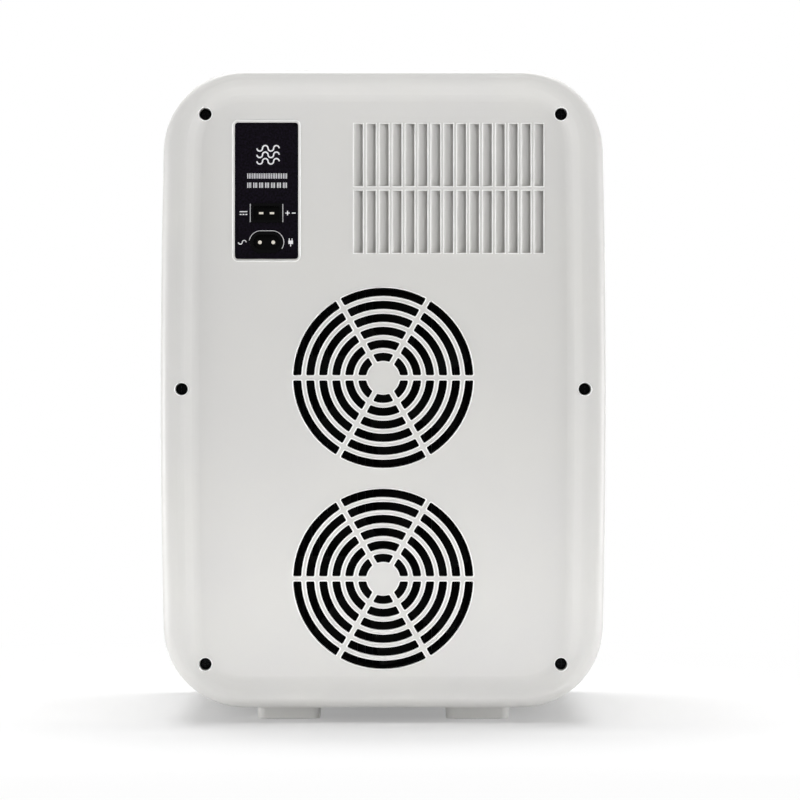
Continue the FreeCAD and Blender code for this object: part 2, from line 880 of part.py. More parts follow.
def rear_cover():
    block = slab(0, y_cover_front, y_rim)
    block = block.makeFillet(rim_radius, edges_at_y(block, y_rim))
    block = block.makeFillet(seam_radius, edges_at_y(block, y_cover_front))
    block = block.cut(recess_tool())
    crest = [e for e in edges_at_y(block, y_rim) if on_crest(e)]
    block = block.makeFillet(recess_blend, crest + edges_at_y(block, y_field))
    cover = block.cut(slab(wall, y_cover_front - 1, y_cover_inner))
    columns, rows = vent_edges()
    m = vent_pad_margin
    seat = y_field - well_depth
    adds = [box(columns[0] - m - vent_lean, columns[-1] + vent_slot + m, y_cover_inner - vent_pad,
                y_cover_inner + wall / 2, rows[-1] - m, rows[0] + vent_height + m)]
    adds.append(ring(wall, wall + lip_wall, y_cover_front - lip_depth, y_cover_front + lip_depth))
    for x, z in well_places():
        adds.append(cyl_y(x, z, well_radius + well_wall, seat - well_floor,
                          y_cover_inner + wall / 2))
    for z in core_heights:
        adds.append(tube_y(0, z, rear_fan.side / 2 + duct_wall / 2,
                           rear_fan.side / 2 - duct_wall / 2,
                           y_rear_fan + rear_fan.depth + duct_gap, y_cover_inner + wall / 2))
    cover = join([cover] + adds)
    cuts = [inlet_opening()] + vent_slots()
    for x, z in well_places():
        cuts.append(cyl_y(x, z, well_radius, seat, y_rim + 1))
        cuts.append(cyl_y(x, z, cover_screw_radius + screw_clearance, seat - well_floor - 1,
                          seat + 1))
    for z in core_heights:
        cuts += grille_slots(0, z, grille_rings, grille_hub, grille_spokes, y_cover_inner - 1,
                             y_rim)
    cover = cover.cut(cuts)
    cover = cover.makeFillet(well_mouth, [e for e in cover.Edges if near_well(e)])
    cover = cover.makeFillet(inlet_edge, edges_at_y(cover, y_field, near_inlet))
    return cover.makeFillet(edge_round, edges_at_y(cover, y_field, near_slot))


def cover_screws():
    seat = y_field - well_depth
    return group([screw_y(x, z, seat, 1, cover_screw_radius, cover_screw_length,
                          cover_screw_head, cover_screw_head_depth) for x, z in well_places()])


# ---------------------------------------------------------------- inlets
def stadium(x, z, width, height, y0, y1):
    """A block with half-round ends, long along X."""
    return round_block(x - width / 2, x + width / 2, y0, y1, z - height / 2, z + height / 2,
                       height / 2 - 0.01)


def dc_block(grow, y0, y1):
    """The DC inlet's outline, grown on every side."""
    z = z_top - dc_drop
    return round_block(inlet_x - dc_width / 2 - grow, inlet_x + dc_width / 2 + grow, y0, y1,
                       z - dc_height / 2 - grow, z + dc_height / 2 + grow, dc_corner)


def ac_block(grow, y0, y1):
    """The AC inlet's outline, grown on every side."""
    return stadium(inlet_x, z_top - ac_drop, ac_width + 2 * grow, ac_height + 2 * grow, y0, y1)


def socket(block, bezel):
    """An inlet: a bezel on the face of the inlet panel and a deep shell behind it."""
    face = y_cover_inner + socket_flange
    body = block(-bezel / 2, face - socket_depth, y_cover_inner)
    rim = block(0, y_cover_inner, face)
    rim = rim.makeFillet(socket_edge, edges_at_y(rim, face))
    body = join([body, rim])
    return body.cut(block(-bezel, face - socket_depth + socket_floor, face + 1))


def pin_spots():
    """The centre and outline of each contact: (x, z, flat)."""
    spots = [(inlet_x + s * dc_pin_pitch / 2, z_top - dc_drop, True) for s in (-1, 1)]
    return spots + [(inlet_x + s * ac_pin_pitch / 2, z_top - ac_drop, False) for s in (-1, 1)]


def pin(x, z, flat, grow, y0, y1):
    """One contact between two planes, grown on every side."""
    if flat:
        return box(x - dc_pin_width / 2 - grow, x + dc_pin_width / 2 + grow, y0, y1,
                   z - dc_pin_height / 2 - grow, z + dc_pin_height / 2 + grow)
    return cyl_y(x, z, ac_pin_radius + grow, y0, y1)


def dc_inlet():
    back = y_cover_inner - socket_depth
    bores = [pin(x, z, flat, 0, back, y_rim) for x, z, flat in pin_spots() if flat]
    return socket(dc_block, dc_bezel).cut(bores)


def ac_inlet():
    back = y_cover_inner - socket_depth
    bores = [pin(x, z, flat, 0, back, y_rim) for x, z, flat in pin_spots() if not flat]
    return socket(ac_block, ac_bezel).cut(bores)


def inlet_pins():
    y0 = y_cover_inner + socket_flange - socket_depth - pin_tail
    y1 = y_cover_inner + socket_flange - pin_tip_depth
    return group([pin(x, z, flat, 0, y0, y1) for x, z, flat in pin_spots()])


def inlet_panel():
    z1 = z_top - inlet_drop + inlet_overlap
    z0 = z_top - inlet_drop - inlet_height - inlet_overlap
    hx = inlet_width / 2 + inlet_overlap
    plate = round_block(inlet_x - hx, inlet_x + hx, y_cover_inner - inlet_plate, y_cover_inner,
                        z0, z1, inlet_corner)
    y0, y1 = y_cover_inner - inlet_plate - 1, y_cover_inner + 1
    return plate.cut([dc_block(-dc_bezel / 2, y0, y1), ac_block(-ac_bezel / 2, y0, y1)])


# ---------------------------------------------------------------- cooling cores
def fan_frame(fan, x, z, y_open, towards):
    """The square frame of a fan whose open face is at y_open and faces towards (+1 or -1). It
    is made at the origin, with its motor plate at y = 0 and its open face at y = depth."""
    h = fan.side / 2
    plates = [round_block(-h, h, y, y + fan.flange, -h, h, fan_corner)
              for y in (0, fan.depth - fan.flange)]
    body = join(plates + [cyl_y(0, 0, fan.duct + fan.wall, 0, fan.depth)])
    body = body.cut(cyl_y(0, 0, fan.duct, -1, fan.depth + 1))
    arms = [box(-fan.duct - fan.wall / 2, fan.duct + fan.wall / 2, 0, fan_disc, -fan_arm / 2,
                fan_arm / 2)]
    for i in range(1, fan_arms // 2):
        arm = arms[0].copy()
        arm.rotate(V(0, 0, 0), V(0, 1, 0), 360 * i / fan_arms)
        arms.append(arm)
    arms.append(cyl_y(0, 0, fan.hub, 0, fan_disc))
    arms.append(cyl_y(0, 0, bearing_radius, 0, fan.depth - bearing_short))
    body = join([body] + arms)
    body = body.cut(cyl_y(0, 0, shaft_radius + shaft_clearance, fan_disc / 2, fan.depth))
    for sx in (-1, 1):
        for sz in (-1, 1):
            body = body.cut(cyl_y(sx * fan.holes / 2, sz * fan.holes / 2, fan.hole_radius, -1,
                                  fan.depth + 1))
    return place_fan(body, fan, x, z, y_open, towards)


def fan_rotor(fan, x, z, y_open, towards):
    """The hub, blades and shaft of the same fan."""
    y0 = fan_disc + rotor_gap
    y1 = fan.depth - rotor_sink
    inner = bearing_radius + rotor_room
    cup = cyl_y(0, 0, fan.hub, y0, y1)
    cup = cup.makeFillet(rotor_edge, edges_at_y(cup, y1))
    cup = cup.cut(cyl_y(0, 0, inner, y0 - 1, y1 - rotor_top))
    tip = fan.duct - fan.tip_gap
    band = tube_y(0, 0, tip, fan.hub - 0.5, y0 + 0.5, y1 - 0.5)
    chord = 2 * math.pi * (tip + fan.hub) / 2 / fan.blades
    blade = box(fan.hub - 2, tip + 2, -chord / 2, chord / 2, -blade_depth / 2, blade_depth / 2)
    blade.rotate(V(0, 0, 0), V(1, 0, 0), blade_angle)
    blade.translate(V(0, (y0 + y1) / 2, 0))
    blade = blade.common(band)
    pieces = [cup]
    for i in range(fan.blades):
        copy = blade.copy()
        copy.rotate(V(0, 0, 0), V(0, 1, 0), 360 * i / fan.blades)
        pieces.append(copy)
    pieces.append(cyl_y(0, 0, shaft_radius, fan_disc / 2 + shaft_float, y1 - rotor_top / 2))
    return place_fan(join(pieces), fan, x, z, y_open, towards)


def place_fan(shape, fan, x, z, y_open, towards):
    """A fan piece moved from the origin to its place."""
    if towards < 0:
        shape = shape.mirror(V(0, 0, 0), V(0, 1, 0))
    shape.translate(V(x, y_open - towards * fan.depth, z))
    return shape


def fan_corners(fan):
    """The mounting holes of both fans of a kind, as (x, z)."""
    return [(sx * fan.holes / 2, z + sz * fan.holes / 2)
            for z in core_heights for sx in (-1, 1) for sz in (-1, 1)]


def y_rear_open():
    return y_rear_fan + rear_fan.depth


def fan_pair(maker, fan, y_open, towards):
    """Both pieces of a kind, lower and upper."""
    return [maker(fan, 0, z, y_open, towards) for z in core_heights]


def heatsink(z, width, height, y_base, base, fins, wall_depth, pitch, towards):
    """A plate with upright fins that stand on the side that it faces (+1 or -1)."""
    hx, hz = width / 2, height / 2
    y1 = y_base + towards * base
    plate = box(-hx, hx, y_base, y1, z - hz, z + hz)
    count = int((width - wall_depth) / pitch) + 1
    span = (count - 1) * pitch
    blades = [box(-span / 2 + i * pitch - wall_depth / 2, -span / 2 + i * pitch + wall_depth / 2,
                  y1 - towards * 0.5, y1 + towards * fins, z - hz, z + hz) for i in range(count)]
    return join([plate] + blades)


def hot_heatsinks():
    made = []
    for z in core_heights:
        sink = heatsink(z, hot_side, hot_side, y_hot_base, hot_base, hot_fin_height,
                        hot_fin_wall, hot_fin_pitch, 1)
        spots = [(x, h) for x, h in fan_corners(rear_fan) if abs(h - z) < fan_pitch / 2]
        sink = join([sink] + [cyl_y(x, h, heatsink_post, y_hot_base + 1, y_rear_fan)
                              for x, h in spots])
        sink = sink.cut([cyl_y(x, h, small_screw_radius + thread_clearance,
                               y_rear_fan - fan_screw_bite - 1, y_rear_fan + 1)
                         for x, h in spots])
        sink = sink.cut([cyl_y(x, h, clamp_radius + thread_clearance, y_hot_base - 1,
                               y_hot_base + clamp_bite + 0.5)
                         for x, h in clamp_places() if h == z])
        made.append(sink)
    return group(made)


def cold_heatsinks():
    made = []
    for z in core_heights:
        sink = heatsink(z, cold_width, cold_height, y_liner_inner, cold_base, cold_fin_height,
                        cold_fin_wall, cold_fin_pitch, -1)
        spots = [(x, h) for x, h in fan_corners(inner_fan) if abs(h - z) < fan_pitch / 2]
        sink = join([sink] + [cyl_y(x, h, heatsink_post, y_inner_fan + inner_fan.depth,
                                    y_liner_inner - 1) for x, h in spots])
        sink = sink.cut([cyl_y(x, h, small_screw_radius + thread_clearance,
                               y_inner_fan + inner_fan.depth - 1,
                               y_inner_fan + inner_fan.depth + fan_screw_bite + 1)
                         for x, h in spots])
        for x, h in clamp_places():
            if h == z:
                sink = sink.cut(cyl_y(x, h, clamp_head_radius + clamp_head_room, y_cold_base,
                                      y_cold_fins - 1))
                sink = sink.cut(cyl_y(x, h, clamp_radius + screw_clearance, y_cold_base - 1,
                                      y_liner_inner + 1))
        made.append(sink)
    return group(made)


def thermoelectric_modules():
    return group([block_opening(z, y_hot_base - module_depth, y_hot_base, 0)
                  for z in core_heights])


def cold_blocks():
    return group([block_opening(z, y_liner_inner, y_hot_base - module_depth, 0)
                  for z in core_heights])


def module_seals():
    return group([block_opening(z, y_bulkhead, y_hot_base, module_seal_margin)
                  .cut(block_opening(z, y_bulkhead - 1, y_hot_base + 1, 0))
                  for z in core_heights])


def clamp_screws():
    length = y_hot_base + clamp_bite - y_cold_base
    return group([screw_y(x, z, y_cold_base, -1, clamp_radius, length, clamp_head_radius,
                          clamp_head_depth) for x, z in clamp_places()])


def rear_fan_screws():
    length = rear_fan.depth + fan_screw_bite
    return group([screw_y(x, z, y_rear_open(), 1, small_screw_radius, length, small_screw_head,
                          small_screw_head_depth) for x, z in fan_corners(rear_fan)])


def inner_fan_screws():
    length = inner_fan.depth + fan_screw_bite
    return group([screw_y(x, z, y_inner_fan, -1, small_screw_radius, length, small_screw_head,
                          small_screw_head_depth) for x, z in fan_corners(inner_fan)])


def inner_fan_cover():
    x0, x1, z0, z1 = fan_cover_box()
    outer = round_block(x0, x1, y_fan_cover, y_liner_inner, z0, z1, fan_cover_corner)
    outer = outer.makeFillet(fan_cover_edge, edges_at_y(outer, y_fan_cover))
    t = fan_cover_wall
    inner = round_block(x0 + t, x1 - t, y_fan_cover + t, y_liner_inner + 1, z0 + t, z1 - t,
                        fan_cover_corner - t)
    tray = outer.cut(inner)
    seat = y_liner_inner - cover_boss_depth
    wells = [cyl_y(x, z, cover_well_radius + cover_well_wall, y_fan_cover + t / 2, seat)
             for x, z in fan_cover_screws_at()]
    tray = join([tray] + wells)
    cuts = []
    for x, z in fan_cover_screws_at():
        cuts.append(cyl_y(x, z, cover_well_radius, y_fan_cover - 1, seat - cover_well_floor))
        cuts.append(cyl_y(x, z, small_screw_radius + screw_clearance, y_fan_cover, seat + 1))
    for z in core_heights:
        cuts += grille_slots(0, z, fan_cover_rings, grille_hub, fan_cover_spokes,
                             y_fan_cover - 1, y_fan_cover + t + 1)
    pitch = (x1 - x0 - 2 * fan_cover_corner) / fan_cover_outlets
    back = y_liner_inner - fan_cover_outlet_back
    for i in range(fan_cover_outlets):
        x = x0 + fan_cover_corner + (i + 0.5) * pitch
        cuts.append(box(x - fan_cover_outlet / 2, x + fan_cover_outlet / 2,
                        back - fan_cover_outlet_depth, back, z0 - 1, z1 + 1))
    return tray.cut(cuts)


def fan_cover_screws():
    seat = y_liner_inner - cover_boss_depth - cover_well_floor
    return group([screw_y(x, z, seat, -1, small_screw_radius, small_screw_length,
                          small_screw_head, small_screw_head_depth)
                  for x, z in fan_cover_screws_at()])


# ---------------------------------------------------------------- power board
def power_board():
    x0 = board_centre_x - board_width / 2
    plate = box(x0, x0 + board_width, y_board, y_board + board_depth, z_board_bottom, z_board_top)
    return plate.cut([cyl_y(x, z, board_screw_radius + screw_clearance, y_board - 1,
                            y_board + board_depth + 1) for x, z in board_holes()])


def y_parts():
    """The face of the power board that carries its parts."""
    return y_board + board_depth


def on_board(spot):
    """The x and z of a place on the board, measured from its low corner."""
    return board_centre_x - board_width / 2 + spot[0], z_board_bottom + spot[1]


def centred_box(x, z, width, height, y0, y1):
    """A block round a centre line along Y."""
    return box(x - width / 2, x + width / 2, y0, y1, z - height / 2, z + height / 2)


def board_screws():
    return group([screw_y(x, z, y_parts(), 1, board_screw_radius, board_screw_length,
                          board_screw_head, small_screw_head_depth) for x, z in board_holes()])


def transformer():
    x, z = on_board(transformer_place)
    y = y_parts()
    bobbin = centred_box(x, z, bobbin_width, bobbin_height, y, y + bobbin_lift)
    bobbin = bobbin.makeFillet(bobbin_corner, edges_along(bobbin, V(0, 0, 1)))
    core = centred_box(x, z, core_width, core_height, y + core_start,
                       y + core_start + core_depth)
    return join([bobbin, core])


def capacitors():
    y = y_parts()
    cans = [(spot, large_can) for spot in large_can_places]
    cans += [(spot, small_can) for spot in small_can_places]
    made = []
    for spot, (radius, length) in cans:
        x, z = on_board(spot)
        can = cyl_y(x, z, radius, y, y + length)
        made.append(can.makeFillet(can_edge, edges_at_y(can, y + length)))
    return group(made)


def board_heatsink():
    x, z = on_board(board_sink_place)
    y = y_parts()
    height = 2 * board_sink_half
    spine = centred_box(x, z, board_sink_wall, height, y, y + board_sink_lift)
    starts = [y + board_sink_first + board_sink_pitch * i for i in range(board_sink_fins)]
    fins = [centred_box(x, z, board_sink_width, height, start, start + board_sink_fin)
            for start in starts]
    return join([spine] + fins)


def board_connectors():
    y = y_parts()
    made = []
    for spot in fan_plug_places + inlet_plug_places + spare_plug_places:
        x, z = on_board(spot)
        shell = centred_box(x, z, plug_width, plug_height, y, y + plug_lift)
        hollow = centred_box(x, z, plug_width - 2 * plug_wall, plug_height - 2 * plug_wall,
                             y + plug_floor, y + plug_lift + 1)
        made.append(shell.cut(hollow))
    return group(made)


def tube_along(points, radius, bend):
    """A wire through a list of points, with an arc of the given radius at each turn."""
    edges = []
    start = points[0]
    for before, here, after in zip(points, points[1:], points[2:]):
        u = (before - here).normalize()
        w = (after - here).normalize()
        half_turn = (math.pi - u.getAngle(w)) / 2
        back = bend * math.tan(half_turn)
        p0, p1 = here + u * back, here + w * back
        bisector = (u + w).normalize()
        centre = here + bisector * (bend / math.cos(half_turn))
        middle = centre - bisector * bend
        edges += [Part.makeLine(start, p0), Part.Arc(p0, middle, p1).toShape()]
        start = p1
    edges.append(Part.makeLine(start, points[-1]))
    path = Part.Wire(edges)
    way = (points[1] - points[0]).normalize()
    section = Part.Wire(Part.makeCircle(radius, points[0], way))
    return path.makePipeShell([section], True, False)


def inlet_leads():
    """The ways of the leads from the contacts of the inlets to the board."""
    y_tails = y_cover_inner + socket_flange - socket_depth - pin_tail
    ways = []
    for i, (x, z, flat) in enumerate(pin_spots()):
        cx, cz = on_board(inlet_plug_places[0 if flat else 1])
        cx += (-lead_pitch / 2, lead_pitch / 2)[i % 2]
        y_turn = y_tails - lead_turn - lead_layer * (i % 2) - (0 if flat else lead_stagger)
        ways.append([V(x, y_tails, z), V(x, y_turn, z), V(cx, y_turn, cz),
                     V(cx, y_parts() + plug_floor, cz)])
    return ways


def fan_leads():
    """The ways of the leads from the board to the rear fans, the upper fan's first."""
    ways = []
    for h, spot, side in zip(reversed(core_heights), fan_plug_places, fan_lead_sides):
        cx, cz = on_board(spot)
        for s in (-1, 1):
            split = s * fan_lead_split / 2
            rise = fan_lead_rise + split
            duct = rear_fan.duct + rear_fan.wall
            x_duct = -math.sqrt(duct ** 2 - (rise - wire_radius) ** 2) - fan_lead_gap
            x_run = -rear_fan.side / 2 - side - split
            y_run = y_rear_fan + fan_lead_depth + split
            x_plug = cx + s * lead_pitch / 2
            ways.append([V(x_duct, y_run, h + rise), V(x_run, y_run, h + rise),
                         V(x_run, y_run, cz + split - fan_lead_drop),
                         V(x_plug, y_run + fan_lead_over, cz),
                         V(x_plug, y_parts() + plug_floor, cz)])
    return ways


def wiring_harness():
    return group([tube_along(way, wire_radius, wire_bend) for way in inlet_leads() + fan_leads()])


# ---------------------------------------------------------------- shelves
def shelf(rise):
    """A wire shelf: a round-cornered rod frame, a cross rod and thin wires from front to back."""
    half = half_width - liner_inset - side_bow - shelf_side_gap - shelf_rod
    z = z_liner_floor + rise + shelf_seat + shelf_rod
    y0, y1 = y_shelf_front + shelf_rod, y_shelf_back - shelf_rod
    r = shelf_corner
    k = r * (1 - math.sqrt(0.5))
    path = Part.Wire([
        Part.makeLine(V(0, y0, z), V(half - r, y0, z)),
        Part.Arc(V(half - r, y0, z), V(half - k, y0 + k, z), V(half, y0 + r, z)).toShape(),
        Part.makeLine(V(half, y0 + r, z), V(half, y1 - r, z)),
        Part.Arc(V(half, y1 - r, z), V(half - k, y1 - k, z), V(half - r, y1, z)).toShape(),
        Part.makeLine(V(half - r, y1, z), V(r - half, y1, z)),
        Part.Arc(V(r - half, y1, z), V(k - half, y1 - k, z), V(-half, y1 - r, z)).toShape(),
        Part.makeLine(V(-half, y1 - r, z), V(-half, y0 + r, z)),
        Part.Arc(V(-half, y0 + r, z), V(k - half, y0 + k, z), V(r - half, y0, z)).toShape(),
        Part.makeLine(V(r - half, y0, z), V(0, y0, z))])
    section = Part.Wire(Part.makeCircle(shelf_rod, V(0, y0, z), V(1, 0, 0)))
    frame = path.makePipeShell([section], True, False)
    top = z + shelf_rod + shelf_wire - shelf_weld
    pitch = 2 * half / (shelf_wires + 1)
    wires = [cyl_y(-half + (i + 1) * pitch, top, shelf_wire, y0 - shelf_wire_end,
                   y1 + shelf_wire_end)
             for i in range(shelf_wires)]
    middle = top - shelf_wire - shelf_rod + shelf_weld
    cross_rod = Part.makeCylinder(shelf_rod, 2 * half, V(-half, (y0 + y1) / 2, middle), V(1, 0, 0))
    return join([frame, cross_rod] + wires)


def upper_shelf():
    return shelf(shelf_rises[1])


def lower_shelf():
    return shelf(shelf_rises[0])


# ---------------------------------------------------------------- door
def hinge_screw_x():
    return half_width - (knuckle_plate_inner + knuckle_plate_outer) / 2


def hinge_screw_bores(y0, y1):
    """The threaded ways of the hinge screws between two planes."""
    return [cyl_y(hinge_screw_x(), z + dz, hinge_screw_radius + thread_clearance, y0, y1)
            for z in hinge_heights for dz in (-hinge_screw_offset, hinge_screw_offset)]


def hinge_plate(z):
    """The flat of a hinge leaf, let into the front frame."""
    return box(half_width - knuckle_plate_inner, half_width - knuckle_plate_outer,
               y_frame_front, y_frame_front + knuckle_plate,
               z - knuckle_plate_half, z + knuckle_plate_half)


def hinge_nut_plate(z):
    """The steel plate behind the frame that the hinge screws bite. It is notched for the
    strike strip."""
    plate = box(half_width - knuckle_plate_inner, half_width - knuckle_plate_outer - side_bow,
                y_shell_front, y_shell_front + nut_plate_depth,
                z - knuckle_plate_half, z + knuckle_plate_half)
    return plate.cut(strike_strip())


def hinge_nut_plates():
    return group([hinge_nut_plate(z).cut(hinge_screw_bores(y_shell_front - 1,
                                                          y_shell_front + nut_plate_depth + 1))
                  for z in hinge_heights])


def hinge_leaves():
    made = []
    for z in hinge_heights:
        arm = box(hinge_x - knuckle_radius, hinge_x + knuckle_radius, hinge_y,
                  y_frame_front + knuckle_plate / 2, z - knuckle_half, z + knuckle_half)
        knuckle = cyl_z(hinge_x, hinge_y, knuckle_radius, z - knuckle_half, z + knuckle_half)
        leaf = join([hinge_plate(z), arm, knuckle])
        leaf = leaf.cut(cyl_z(hinge_x, hinge_y, hinge_pin_radius + hinge_clearance,
                              z - knuckle_half - 1, z + knuckle_half + 1))
        for dz in (-hinge_screw_offset, hinge_screw_offset):
            leaf = leaf.cut(flat_screw(hinge_screw_x(), z + dz, thread_clearance))
        made.append(leaf)
    return group(made)


def flat_screw(x, z, grow):
    """A countersunk screw set flush in the hinge plate, grown on every side."""
    r, h = hinge_screw_radius + grow, hinge_screw_head + grow
    cone = Part.makeCone(h, r, hinge_screw_head_depth, V(x, y_frame_front, z), V(0, 1, 0))
    return join([cone, cyl_y(x, z, r, y_frame_front + hinge_screw_head_depth,
                             y_frame_front + hinge_screw_length)])


def hinge_screws():
    return group([flat_screw(hinge_screw_x(), z + dz, 0)
                  .cut(cross(hinge_screw_x(), z + dz, y_frame_front, -1, hinge_screw_head))
                  for z in hinge_heights for dz in (-hinge_screw_offset, hinge_screw_offset)])


def hinge_pins():
    return group([cyl_z(hinge_x, hinge_y, hinge_pin_radius, z - hinge_pin_half, z + hinge_pin_half)
                  for z in hinge_heights])


def hinge_block(z):
    """The solid plastic round a hinge in the door."""
    half = hinge_pin_half + boss_margin
    block = box(hinge_x - notch_inner - boss_margin, half_width, hinge_y - notch_front - wall,
                y_door_back - door_panel_depth, z - half, z + half)
    return block.common(slab(wall / 2, y_door_front + wall, y_door_back))


def hinge_notch(z):
    """The room that the door leaves round a hinge knuckle."""
    half = knuckle_half + notch_gap
    return box(hinge_x - notch_inner, half_width + 1, hinge_y - notch_front, y_door_back + 1,
               z - half, z + half)


def hinge_bores():
    return [cyl_z(hinge_x, hinge_y, hinge_pin_radius, z - hinge_pin_half, z + hinge_pin_half)
            for z in hinge_heights]


def grip_block(shrink):
    """The hand grip's pocket in the free side of the door, drawn in by shrink."""
    y0, y1 = y_door_front + grip_front, y_door_back - grip_back
    x1 = -half_width + grip_reach
    block = box(-half_width - grip_reach, x1 - shrink, y0 + shrink, y1 - shrink,
                z_middle - grip_height / 2 + shrink, z_middle + grip_height / 2 - shrink)
    return block.makeFillet(grip_radius - shrink,
                            [e for e in edges_along(block, V(1, 0, 0))])


def door_handle():
    return grip_block(0).cut(grip_block(grip_wall)).common(slab(0, y_door_front, y_door_back))


def door_shape(inset, y0, y1, radius):
    """The door's outline as a block with a rounded front edge."""
    block = slab(inset, y0, y1)
    return block.makeFillet(radius, edges_at_y(block, y0))


def door_outer_panel():
    outer = door_shape(0, y_door_front, y_door_back, door_edge_radius)
    back = edges_at_y(outer, y_door_back)
    outer = outer.makeFillet(seam_radius, back)
    inner = door_shape(wall, y_door_front + wall, y_door_back + 1, door_edge_radius - wall)
    panel = outer.cut(inner)
    panel = join([panel] + [hinge_block(z) for z in hinge_heights])
    return panel.cut([hinge_notch(z) for z in hinge_heights] + hinge_bores() + [grip_block(0)])


def door_plug(inset, y0, y1, radius):
    """The raised middle of the door's inside."""
    block = slab(inset, y0, y1)
    return block.makeFillet(radius, edges_at_y(block, y1))


def door_foam():
    y0 = y_door_front + wall
    y1 = y_door_back - door_panel_depth
    foam = door_shape(wall, y0, y1, door_edge_radius - wall)
    foam = join([foam, door_plug(door_plug_inset + door_panel_depth, y1 - 1,
                                 y_plug - door_panel_depth, door_plug_inner_edge)])
    foam = foam.cut([hinge_block(z) for z in hinge_heights])
    foam = foam.cut([hinge_notch(z) for z in hinge_heights] + [grip_block(0)])
    return foam


def door_inner_panel():
    y0 = y_door_back - door_panel_depth
    panel = join([slab(wall, y0, y_door_back),
                  door_plug(door_plug_inset, y0, y_plug, door_plug_edge)])
    panel = panel.cut(door_plug(door_plug_inset + door_panel_depth, y0 - 1,
                                y_plug - door_panel_depth, door_plug_inner_edge))
    lugs = []
    for rise in rack_rises:
        for s in (-1, 1):
            z = z_liner_floor + rise + lug_rise
            x = s * (rack_half_width + rack_gap)
            lugs.append(box(x, x + s * lug_width, y_plug - 1, y_plug + lug_reach, z,
                            z + lug_height))
    panel = join([panel] + lugs)
    groove = ring(gasket_inset, gasket_inset + gasket_width, y_door_back - gasket_groove,
                  y_door_back + 1)
    return panel.cut([groove] + [hinge_notch(z) for z in hinge_heights])


def door_gasket():
    y1 = y_frame_front - gasket_gap
    gasket = ring(gasket_inset, gasket_inset + gasket_width, y_door_back - gasket_groove, y1)
    return gasket.cut(gasket_magnets())


def gasket_magnets():
    y1 = y_frame_front - gasket_gap - magnet_skin
    inset = gasket_inset + (gasket_width - magnet_width) / 2
    return ring(inset, inset + magnet_width, y1 - magnet_depth, y1)


def door_rack(rise):
    """A tray that hangs by two hooked ears on lugs of the door's inside."""
    z0 = z_liner_floor + rise
    h = rack_half_width
    tray = round_block(-h, h, y_rack_front, y_rack_back, z0, z0 + rack_height, rack_radius,
                       V(0, 0, 1))
    tray = tray.makeFillet(rack_wall, edges_at_z(tray, z0))
    t = rack_wall
    tray = tray.cut(round_block(-h + t, h - t, y_rack_front + t, y_rack_back - t, z0 + t,
                                z0 + rack_height + 1, rack_radius - t, V(0, 0, 1)))
    z_ear = z0 + lug_rise + lug_height + rack_seat
    ears = []
    for s in (-1, 1):
        x0 = s * (h - t / 2)
        x1 = s * (h + rack_gap + lug_width)
        y1 = y_plug + lug_reach + rack_seat
        ears.append(box(x0, x1, y_rack_front + t, y1 + ear_lip, z_ear, z_ear + ear_height))
        ears.append(box(x0, x1, y1, y1 + ear_lip, z_ear - ear_drop, z_ear + ear_height))
    tray = join([tray] + ears)
    pitch = 2 * (h - rack_radius) / rack_slots
    slots = []
    z_slot = z0 + rack_height - rack_slot_drop
    for i in range(rack_slots):
        x = -h + rack_radius + (i + 0.5) * pitch
        slots.append(round_block(x - rack_slot / 2, x + rack_slot / 2, y_rack_back - t - 1,
                                 y_rack_back + 1, z_slot - rack_slot_height, z_slot,
                                 rack_slot_corner))
    return tray.cut(slots)


def door_rack_upper():
    return door_rack(rack_rises[1])


def door_rack_lower():
    return door_rack(rack_rises[0])


# ---------------------------------------------------------------- controls
def display_opening(grow, z0, z1):
    """The display's window, grown on every side."""
    hx, hy = display_width / 2 + grow, display_length / 2 + grow
    return round_block(display_x - hx, display_x + hx, control_centre_y - hy,
                       control_centre_y + hy, z0, z1, display_corner + grow, V(0, 0, 1))


def control_posts(radius, z0, z1):
    """Four pillars at the corners of the control board."""
    hx = control_width / 2 - control_board_inset - control_post_radius
    hy = control_length / 2 - control_board_inset - control_post_radius
    return [cyl_z(sx * hx, control_centre_y + sy * hy, radius, z0, z1)
            for sx in (-1, 1) for sy in (-1, 1)]


def control_panel():
    under = z_control_face - control_plate
    plate = control_block(-control_gap, under, z_control_face)
    skirt = control_block(-control_gap, z_top - wall - control_skirt_depth, under + 0.5)
    flange = control_block(control_flange, z_top - wall - control_flange_depth, z_top - wall)
    hollow = control_block(-control_gap - control_skirt, z_top - wall - control_skirt_depth - 1,
                           under)
    panel = join([plate, skirt, flange]).cut(hollow)
    panel = join([panel] + control_posts(control_post_radius, z_control_board, under + 0.5))
    cuts = [cyl_z(x, control_centre_y, button_radius + button_gap, under - 1, z_top)
            for x in button_xs]
    cuts.append(display_opening(0, z_control_face - display_depth, z_top))
    cuts.append(display_opening(-display_lip, under - 1, z_top))
    return panel.cut(cuts)


def display_window():
    return display_opening(0, z_control_face - display_depth, z_control_face)


def control_board():
    hx = control_width / 2 - control_board_inset
    hy = control_length / 2 - control_board_inset
    plate = box(-hx, hx, control_centre_y - hy, control_centre_y + hy,
                z_control_board - control_board_depth, z_control_board)
    block = display_opening(-display_lip - display_gap, z_control_board - 0.5,
                            z_control_board + display_block)
    return join([plate, block])


def tact_switches():
    h = switch_side / 2
    made = []
    for x in button_xs:
        body = box(x - h, x + h, control_centre_y - h, control_centre_y + h, z_control_board,
                   z_control_board + switch_height)
        top = cyl_z(x, control_centre_y, plunger_radius, z_control_board + switch_height - 0.5,
                    z_control_board + switch_height + plunger_height)
        made.append(join([body, top]))
    return group(made)


